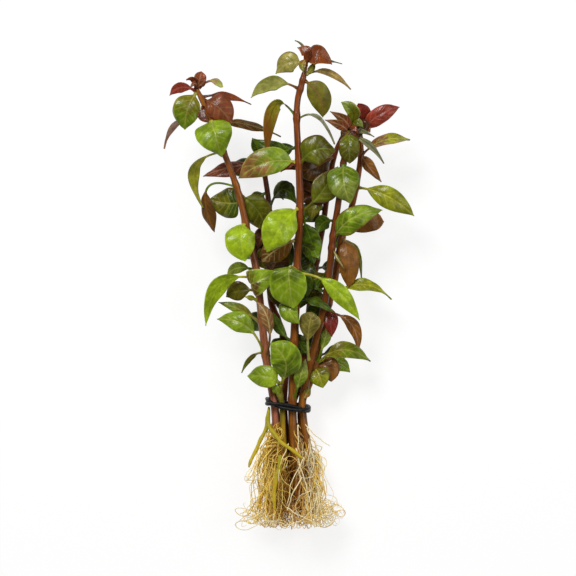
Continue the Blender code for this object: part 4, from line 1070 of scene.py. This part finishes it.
def blade_width(form, along):
    """The blade's width at a share of its length, as a share of its widest."""
    if along < form.widest:
        return 1 - (1 - along / form.widest) ** form.base
    return 1 - (1 - ((1 - along) / (1 - form.widest)) ** form.drawn) ** form.tip


def blade_thickness(share, in_blade):
    """Half a leaf's thickness at a share of its half width, on the stalk or in the blade."""
    blade = BLADE_EDGE + (BLADE_HALF_THICKNESS - BLADE_EDGE) * (1 - share**2)
    stalk = STALK_HALF_THICKNESS * math.sqrt(max(1 - share**2, STALK_EDGE))
    return stalk + (blade - stalk) * in_blade


def leaf_start(stem, leaf):
    """Where a leaf's stalk leaves its stem."""
    centre = curve_point(stem.points, leaf.at)
    axis = (curve_point(stem.points, leaf.at + 1) - centre).normalized()
    outward = Vector(leaf.shoulder) - centre
    outward = (outward - axis * outward.dot(axis)).normalized()
    return centre + outward * stem_radius(stem, leaf.at) * STALK_INSET


def leaf_stations(form, rows):
    """Shares of a leaf's length at which it has points, closer at both ends of its blade."""
    stalk_rows = max(3, round(rows * form.stalk))
    stations = [form.stalk * row / stalk_rows for row in range(stalk_rows)]
    for row in range(rows):
        stations.append(form.stalk + (1 - form.stalk) * (1 - math.cos(math.pi * row / rows)) / 2)
    return stations


def leaf_ring(columns):
    """Shares of the half width round a leaf, above from left to right and then back underneath."""
    even = [2 * index / columns - 1 for index in range(columns + 1)]
    shares = [math.copysign(abs(share) ** EDGE_CROWDING, share) for share in even]
    return [(share, 0.0) for share in shares] + [(share, 1.0) for share in reversed(shares)]


class Midrib:
    """The line that a leaf bends along, and the fold, the skew and the waves of its own blade."""

    def __init__(self, stem, leaf, seed):
        rng = random.Random(seed)
        self.wave_start, self.wave_count = rng.uniform(0, FULL_TURN), rng.uniform(*EDGE_WAVES)
        self.fold, self.skew = rng.uniform(*BLADE_FOLD), rng.uniform(-BLADE_SKEW, BLADE_SKEW)
        self.leaf = leaf
        self.start, self.tip = leaf_start(stem, leaf), Vector(leaf.tip)
        self.bend = Vector(leaf.shoulder) * 2 - (self.start + self.tip) / 2
        chord = (self.tip - self.start).normalized()
        self.level = chord.cross(UP).normalized()
        self.upright = self.level.cross(chord)
        self.length = (self.tip - self.start).length

    def at(self, t):
        """The line's point at a share of its length, the blade's side there and its upper normal."""
        start, bend, tip = self.start, self.bend, self.tip
        middle = start * (1 - t) ** 2 + bend * 2 * t * (1 - t) + tip * t**2
        along = ((bend - start) * (1 - t) + (tip - bend) * t).normalized()
        turn = math.radians(self.leaf.face + self.leaf.twist * (t - 0.5))
        side = self.level * math.cos(turn) + self.upright * math.sin(turn)
        side = (side - along * side.dot(along)).normalized()
        return middle, side, side.cross(along)

    def lift(self, u, share, half_width):
        """How far the blade rises beside the line: its cup, its fold, its puckers and its wavy edge."""
        lane = SIDE_VEINS * u - VEIN_SWEEP * abs(share)
        pucker = PUCKER * (abs(math.sin(math.pi * lane)) - 0.5) * (1 - share**2)
        pucker = pucker * min(half_width / PUCKER_FULL, 1) * smooth_step(*PUCKER_START, abs(share))
        if share < 0:
            swing = math.cos(self.wave_start + FULL_TURN * EDGE_MISMATCH * self.wave_count * u)
        else:
            swing = math.sin(self.wave_start + FULL_TURN * self.wave_count * u)
        wave = EDGE_WAVE * self.leaf.width * share**2 * swing
        cup = self.leaf.cup
        crease = math.copysign(self.fold, -cup) * half_width * abs(share) * (1 - 0.5 * abs(share))
        return cup * half_width * share**2 + crease + pucker + wave


def leaf_section(line, t, u, ring):
    """The points round a leaf at a share of its length, and how far aside of its midrib they lie."""
    middle, side, normal = line.at(t)
    spread = line.leaf.width / 2 * blade_width(FORMS[line.leaf.form], u) if u > 0 else 0.0
    flare = STALK_FLARE * hump(t * line.length, STALK_FLARE_LENGTH)
    half_width = max(STALK_HALF_WIDTH * (1 - STALK_THINNING * max(u, 0)) + flare, spread)
    in_blade = smooth_step(STALK_HALF_WIDTH, 3 * STALK_HALF_WIDTH, spread)
    thinning = 1 - MIDRIB_THINNING * max(u, 0.0)
    points, aside = [], []
    for share, below in ring:
        x = share * half_width * (1 + math.copysign(line.skew, share) * in_blade)
        lift = line.lift(u, share, half_width) * in_blade
        point = middle + side * x + normal * lift
        half_thickness = blade_thickness(share, in_blade)
        rib = hump(x, MIDRIB_HALF_WIDTH) * in_blade * thinning
        point.z = above_floor(point.z, half_thickness)
        if below:
            point -= normal * (half_thickness + MIDRIB_DEPTH * rib)
        else:
            point += normal * (half_thickness - GROOVE_DEPTH * rib)
        points.append(point)
        aside.append(x)
    return points, aside


def add_leaf(shape, stem, leaf, grid, seed):
    """Add one leaf: a thin puckered blade with its midrib, on a stalk that leaves the stem."""
    rows, columns = grid
    form = FORMS[leaf.form]
    line = Midrib(stem, leaf, seed)
    own = seed * BLADE_SPACING
    ring = leaf_ring(columns)
    stations = leaf_stations(form, rows)
    points, marks, places = [], [], []
    for t in stations:
        u = (t - form.stalk) / (1 - form.stalk)
        section, aside = leaf_section(line, t, u, ring)
        points += section
        marks += [(u, share, below) for share, below in ring]
        places += [(x, t * line.length, own) for x in aside]
    sides = len(ring)
    faces = ring_faces(len(stations), sides, ends="open")
    faces.append(list(reversed(range(sides))))
    last = len(points) - sides
    faces += [[last + corner, last + (corner + 1) % sides, len(points)] for corner in range(sides)]
    points.append(Vector((line.tip.x, line.tip.y, above_floor(line.tip.z, BLADE_EDGE))))
    marks.append((1.0, 0.0, 0.5))
    places.append((0.0, line.length, own))
    shape.add(points, faces, leaf_finish(leaf.look), marks, places)


def add_bark(shape, name, seed):
    """Add a stem's own surface, with a swelling at each joint."""
    stem = STEMS[name]
    foot, top = stem.points[0][1], stem.points[-1][1]
    growth = [leaf.at for leaf in LEAVES[name] + SMALL_LEAVES[name]]
    count = round((top - foot) / STEM_STATION)
    centres, radii, marks, places = [], [], [], []
    for index in range(count + 1):
        y = foot + (top - foot) * index / count
        joint = max(hump(y - at, JOINT_REACH) for at in growth)
        wobble = noise.noise(Vector((y * STEM_WOBBLE_SCALE, seed, 0.0))) * STEM_WOBBLE
        radius = stem_radius(stem, y) + JOINT_SWELLING * joint + wobble
        centres.append(curve_point(stem.points, y))
        radii.append(radius * stem_end(stem, y, radius))
        for side in range(STEM_SIDES):
            angle = FULL_TURN * side / STEM_SIDES
            cosine, sine = math.cos(angle), math.sin(angle)
            # The third mark is how far towards its left or right side a point lies, for the painted shade
            # on the flanks.
            marks.append(((y - foot) / (top - foot), joint, abs(cosine)))
            places.append((cosine * radius, y, sine * radius + seed * STEM_SPACING))
    bark = new_finish(name + " bark", BARK_PAINT, BARKS[stem.look], relief_depth=0.15, coat=0.15)
    shape.add(tube(centres, radii, STEM_SIDES), ring_faces(count + 1, STEM_SIDES), bark, marks, places)


def build_stem(name, seed):
    """A stem with its small leaves."""
    shape = Shape()
    add_bark(shape, name, seed)
    for number, leaf in enumerate(SMALL_LEAVES[name] + EXTRA_LEAVES[name]):
        add_leaf(shape, STEMS[name], leaf, SMALL_LEAF_GRID, seed * STEM_SEEDS + SMALL_LEAF_SEEDS + number)
    shape.piece(name + "_surface", name)


def build_leaves(name, seed):
    """The leaves of one stem that are pieces of their own."""
    for number, leaf in enumerate(LEAVES[name], start=1):
        shape = Shape()
        add_leaf(shape, STEMS[name], leaf, LARGE_LEAF_GRID, seed * STEM_SEEDS + number)
        leaf_name = name.replace("stem", "leaf") + f"_{number}"
        shape.piece(leaf_name + "_surface", leaf_name)


def tie_strand(angle):
    """A point on the middle line of the rubber, at an angle round the stems."""
    power = 2 / TIE_SQUARENESS
    cosine, sine = math.cos(angle), math.sin(angle)
    x = math.copysign(abs(cosine) ** power, cosine) * TIE_HALF_WIDTH
    z = math.copysign(abs(sine) ** power, sine) * TIE_HALF_DEPTH
    outward = Vector((cosine * TIE_HALF_DEPTH, 0, sine * TIE_HALF_WIDTH)).normalized()
    twist = TIE_TWISTS * angle + TIE_CROSSING * (1 - math.cos(angle))
    place = Vector((x, TIE_SLOPE * x + TIE_LEAN * z, z))
    offset = ALONG_BUNCH * math.cos(twist) + outward * math.sin(twist)
    return Vector(TIE_CENTRE) + place + offset * TIE_STRAND_OFFSET


def build_tie():
    """A rubber loop doubled round the stems, its two strands twisted about each other."""
    step = FULL_TURN * TIE_TURNS / TIE_STATIONS
    points = []
    for index in range(TIE_STATIONS):
        angle = step * index
        along = (tie_strand(angle + step) - tie_strand(angle - step)).normalized()
        across = along.cross(ALONG_BUNCH).normalized()
        points += ring_points(tie_strand(angle), along, across, TIE_STRAND_RADIUS, TIE_SIDES)
    marks = [(0.0, 0.0, 0.0)] * len(points)
    rubber = new_finish("rubber", RUBBER_PAINT, ("rubber", "rubber dust"), relief_depth=0.05)
    shape = Shape()
    shape.add(points, ring_faces(TIE_STATIONS, TIE_SIDES, ends="joined"), rubber, marks,
              [tuple(point) for point in points])
    shape.piece("tie_surface", "tie")


def root_reach(y):
    """The half width and half depth of the mass of roots at height y."""
    index = 0
    while index < len(ROOT_ROWS) - 2 and y < ROOT_ROWS[index + 1].y:
        index += 1
    high, low = ROOT_ROWS[index], ROOT_ROWS[index + 1]
    share = (high.y - y) / (high.y - low.y)
    half_width = high.half_width + (low.half_width - high.half_width) * share
    half_depth = high.half_depth + (low.half_depth - high.half_depth) * share
    return half_width, half_depth


def own_noise(rng):
    """A place of its own in the noise, so that no two threads wander alike."""
    return Vector([rng.uniform(0, NOISE_ROOM) for _ in range(3)])


def thread_start(rng, tuft):
    """Where a thread leaves its stem, and which way is outward there."""
    stem = STEMS[rng.choice(tuft.stems)]
    lowest = max(stem.points[0][1] + THREADS_ABOVE_CUT, THREADS_TO)
    turn = math.radians(rng.uniform(tuft.first, tuft.last))
    highest = THREADS_FROM - THREADS_LOWER * max(math.sin(turn), 0.0)
    y = highest + (lowest - highest) * rng.random() ** THREAD_CROWDING
    outward = Vector((math.cos(turn), 0, math.sin(turn)))
    place = curve_point(stem.points, y) + outward * stem_radius(stem, y) * THREAD_INSET
    return place, outward


def window_push(place):
    """How far a thread is pushed aside where the middle stem shows between the tufts."""
    down = clamp((THREADS_FROM - place.y) / (THREADS_FROM - STEM_WINDOW_LOWEST))
    at_top, moved = STEM_WINDOW_SHIFT
    width, taper = STEM_WINDOW_TAPER
    beside = place.x - STEM_WINDOW_X * (down * moved + at_top)
    if place.z <= ROOT_AXIS_Z or abs(beside) >= STEM_WINDOW * (width - taper * down) or down >= 1:
        return 0.0
    return math.copysign(STEM_WINDOW_PUSH, beside)


def thread_path(rng, tuft):
    """The middle line of one thread, and how deep inside the mass of roots each of its points lies, for the
    painted shade there.
    """
    place, outward = thread_start(rng, tuft)
    heading = (outward * rng.uniform(*THREAD_SPLAY) - ALONG_BUNCH).normalized()
    curl = THREAD_CURL * rng.choice(THREAD_CURLS)
    own = own_noise(rng)
    reach = math.sqrt(rng.uniform(*THREAD_REACH))
    end = ROOT_LOWEST + THREADS_END * rng.random() ** 2 + END_LENGTH
    length = rng.uniform(*THREAD_LENGTHS)
    path = [place]
    buried_shade = [1.0]
    for _ in range(THREAD_STATIONS - 1):
        half_width, half_depth = root_reach(place.y)
        out = Vector(((place.x - ROOT_AXIS_X) / half_width, 0, (place.z - ROOT_AXIS_Z) / half_depth))
        wander = noise.noise_vector(place * THREAD_WANDER_SCALE + own)
        wander = wander + noise.noise_vector(place * SHARED_WANDER_SCALE) * SHARED_WANDER
        heading += wander * curl - ALONG_BUNCH * THREAD_PULL
        heading.x += window_push(place)
        heading += outward * OUTWARD_PULL * (reach - out.length)
        if out.length > reach:
            heading -= out * (out.length - reach) * INWARD_PULL
        if place.y < end:
            heading.x += END_SPREAD * out.x
            heading.y += END_LIFT * (end - place.y)
        heading.normalize()
        place = place + heading * THREAD_STEP * length
        place.y = max(place.y, ROOT_LOWEST)
        place.z = max(place.z, THREAD_FLOOR)
        path.append(place)
        buried_shade.append(clamp(1.0 - out.length))
    return path, buried_shade


def add_thread(shape, skin, rng, tuft):
    """Add one root thread."""
    path, buried_shade = thread_path(rng, tuft)
    thick = rng.uniform(*THREAD_RADII)
    tint = rng.random()
    last = THREAD_STATIONS - 1
    radii = [thick * (1 - THREAD_THINNING * index / last) for index in range(THREAD_STATIONS)]
    # The third mark is how deep the point lies in the mass, for the painted shade there.
    marks = [(index / last, tint, buried_shade[index]) for index in range(THREAD_STATIONS)]
    shape.add_tube(path, radii, THREAD_SIDES, skin, marks)


def add_strand(shape, skin, rng, corners):
    """Add one of the thicker pale roots that lie outermost."""
    path = smooth_path(corners, STRAND_STEPS)
    own = own_noise(rng)
    path = [place + noise.noise_vector(place * STRAND_WANDER_SCALE + own) * STRAND_WANDER for place in path]
    last = len(path) - 1
    radii = [STRAND_RADIUS * (1 - STRAND_THINNING * index / last) for index in range(last + 1)]
    deeper = 1 - STRAND_PALE_FROM
    marks = [(STRAND_PALE_FROM + deeper * index / last, 0.0, 0.0) for index in range(last + 1)]
    shape.add_tube(path, radii, STRAND_SIDES, skin, marks)


def build_roots(name, seed):
    """A tuft of thread roots. The front one has the pale strands too."""
    tuft = TUFTS[name]
    rng = random.Random(seed)
    shape = Shape()
    threads = thread_finish(name + " threads", tuft.pale, tuft.deep)
    for _ in range(tuft.threads):
        add_thread(shape, threads, rng, tuft)
    if name == "front_roots":
        pale = thread_finish("pale roots", "root white", "root white")
        for corners in STRANDS:
            add_strand(shape, pale, rng, corners)
    shape.piece(name + "_surface", name)


def build_runner(name, seed):
    """A thick yellow-green root that crosses the others."""
    centres = smooth_path(RUNNERS[name], RUNNER_STEPS)
    last = len(centres) - 1
    blunt, fullness = RUNNER_TIP
    radii = []
    for index, centre in enumerate(centres):
        share = index / last
        centre.x += RUNNER_BEND * math.sin(share * RUNNER_BENDS + seed)
        knots = RUNNER_KNOT * math.sin(share * RUNNER_KNOTS + seed * 2)
        end = math.sqrt(min(1.0, blunt + fullness * min(share, 1 - share)))
        radii.append(RUNNER_RADIUS * (1 - RUNNER_THINNING * share + knots) * end)
    marks = [(RUNNER_GREEN * index / last, 0.0, 0.0) for index in range(len(centres))]
    skin = new_finish(name + " skin", ROOT_PAINT, ("runner green", "runner", "runner"), relief_depth=0.1)
    shape = Shape()
    shape.add_tube(centres, radii, RUNNER_SIDES, skin, marks)
    shape.piece(name + "_surface", name if name in SLOTS else None)


def add_floor():
    """The plain white surface that the bunch lies on, lit from below as on a light table."""
    mesh = bpy.data.meshes.new("floor")
    corners = [(-1, -1, 0), (1, -1, 0), (1, 1, 0), (-1, 1, 0)]
    mesh.from_pydata([Vector(corner) * FLOOR_HALF for corner in corners], [], [[0, 1, 2, 3]])
    white = bpy.data.materials.new("white floor")
    white.use_nodes = True
    shader = white.node_tree.nodes["Principled BSDF"]
    shader.inputs["Base Color"].default_value = (*[FLOOR_WHITE] * 3, 1.0)
    shader.inputs["Roughness"].default_value = 1.0
    shader.inputs["Specular IOR Level"].default_value = 0.0
    shader.inputs["Emission Color"].default_value = (1.0, 1.0, 1.0, 1.0)
    shader.inputs["Emission Strength"].default_value = FLOOR_GLOW
    mesh.materials.append(white)
    floor = bpy.data.objects.new("floor", mesh)
    floor.location.z = -FLOOR_GAP
    bpy.context.collection.objects.link(floor)


def add_lamp(row):
    """A soft square light that faces the bunch."""
    light = bpy.data.lights.new(row.name, "AREA")
    light.size = row.size
    light.energy = row.power
    obj = bpy.data.objects.new(row.name, light)
    obj.location = row.place
    obj.rotation_euler = (-Vector(row.place)).to_track_quat("-Z", "Y").to_euler()
    bpy.context.collection.objects.link(obj)


def add_room():
    """A room that looks white but lights the bunch only dimly, which keeps its colours deep."""
    world = bpy.data.worlds.new("studio")
    world.use_nodes = True
    tree = world.node_tree
    background = tree.nodes["Background"]
    path = tree.nodes.new("ShaderNodeLightPath")
    light = ramp(tree, path.outputs["Is Glossy Ray"], 0.0, 1.0, ROOM_LIGHT, ROOM_SHEEN)
    strength = calculate(tree, "MAXIMUM", light, path.outputs["Is Camera Ray"])
    background.inputs["Color"].default_value = (1.0, 1.0, 1.0, 1.0)
    feed(tree, background.inputs["Strength"], strength)
    bpy.context.scene.world = world


def add_camera():
    """A camera straight above the bunch, as the photograph shows it."""
    camera = bpy.data.cameras.new("camera")
    camera.sensor_width = CAMERA_SENSOR
    camera.lens = CAMERA_LENS
    obj = bpy.data.objects.new("camera", camera)
    obj.location = (HOME.x, HOME.y, CAMERA_HEIGHT)
    bpy.context.collection.objects.link(obj)
    bpy.context.scene.camera = obj


def add_studio():
    """Everything round the bunch, which isn't part of it."""
    bpy.context.scene.view_settings.view_transform = "Standard"
    add_floor()
    add_room()
    for row in LAMPS:
        add_lamp(row)
    add_camera()


def main():
    noise.seed_set(NOISE_SEED)
    add_studio()
    for seed, name in enumerate(STEMS, start=1):
        build_stem(name, seed)
        build_leaves(name, seed)
    for seed, name in enumerate(TUFTS, start=1):
        build_roots(name, seed)
    for seed, name in enumerate(RUNNERS, start=1):
        build_runner(name, seed)
    build_tie()


main()
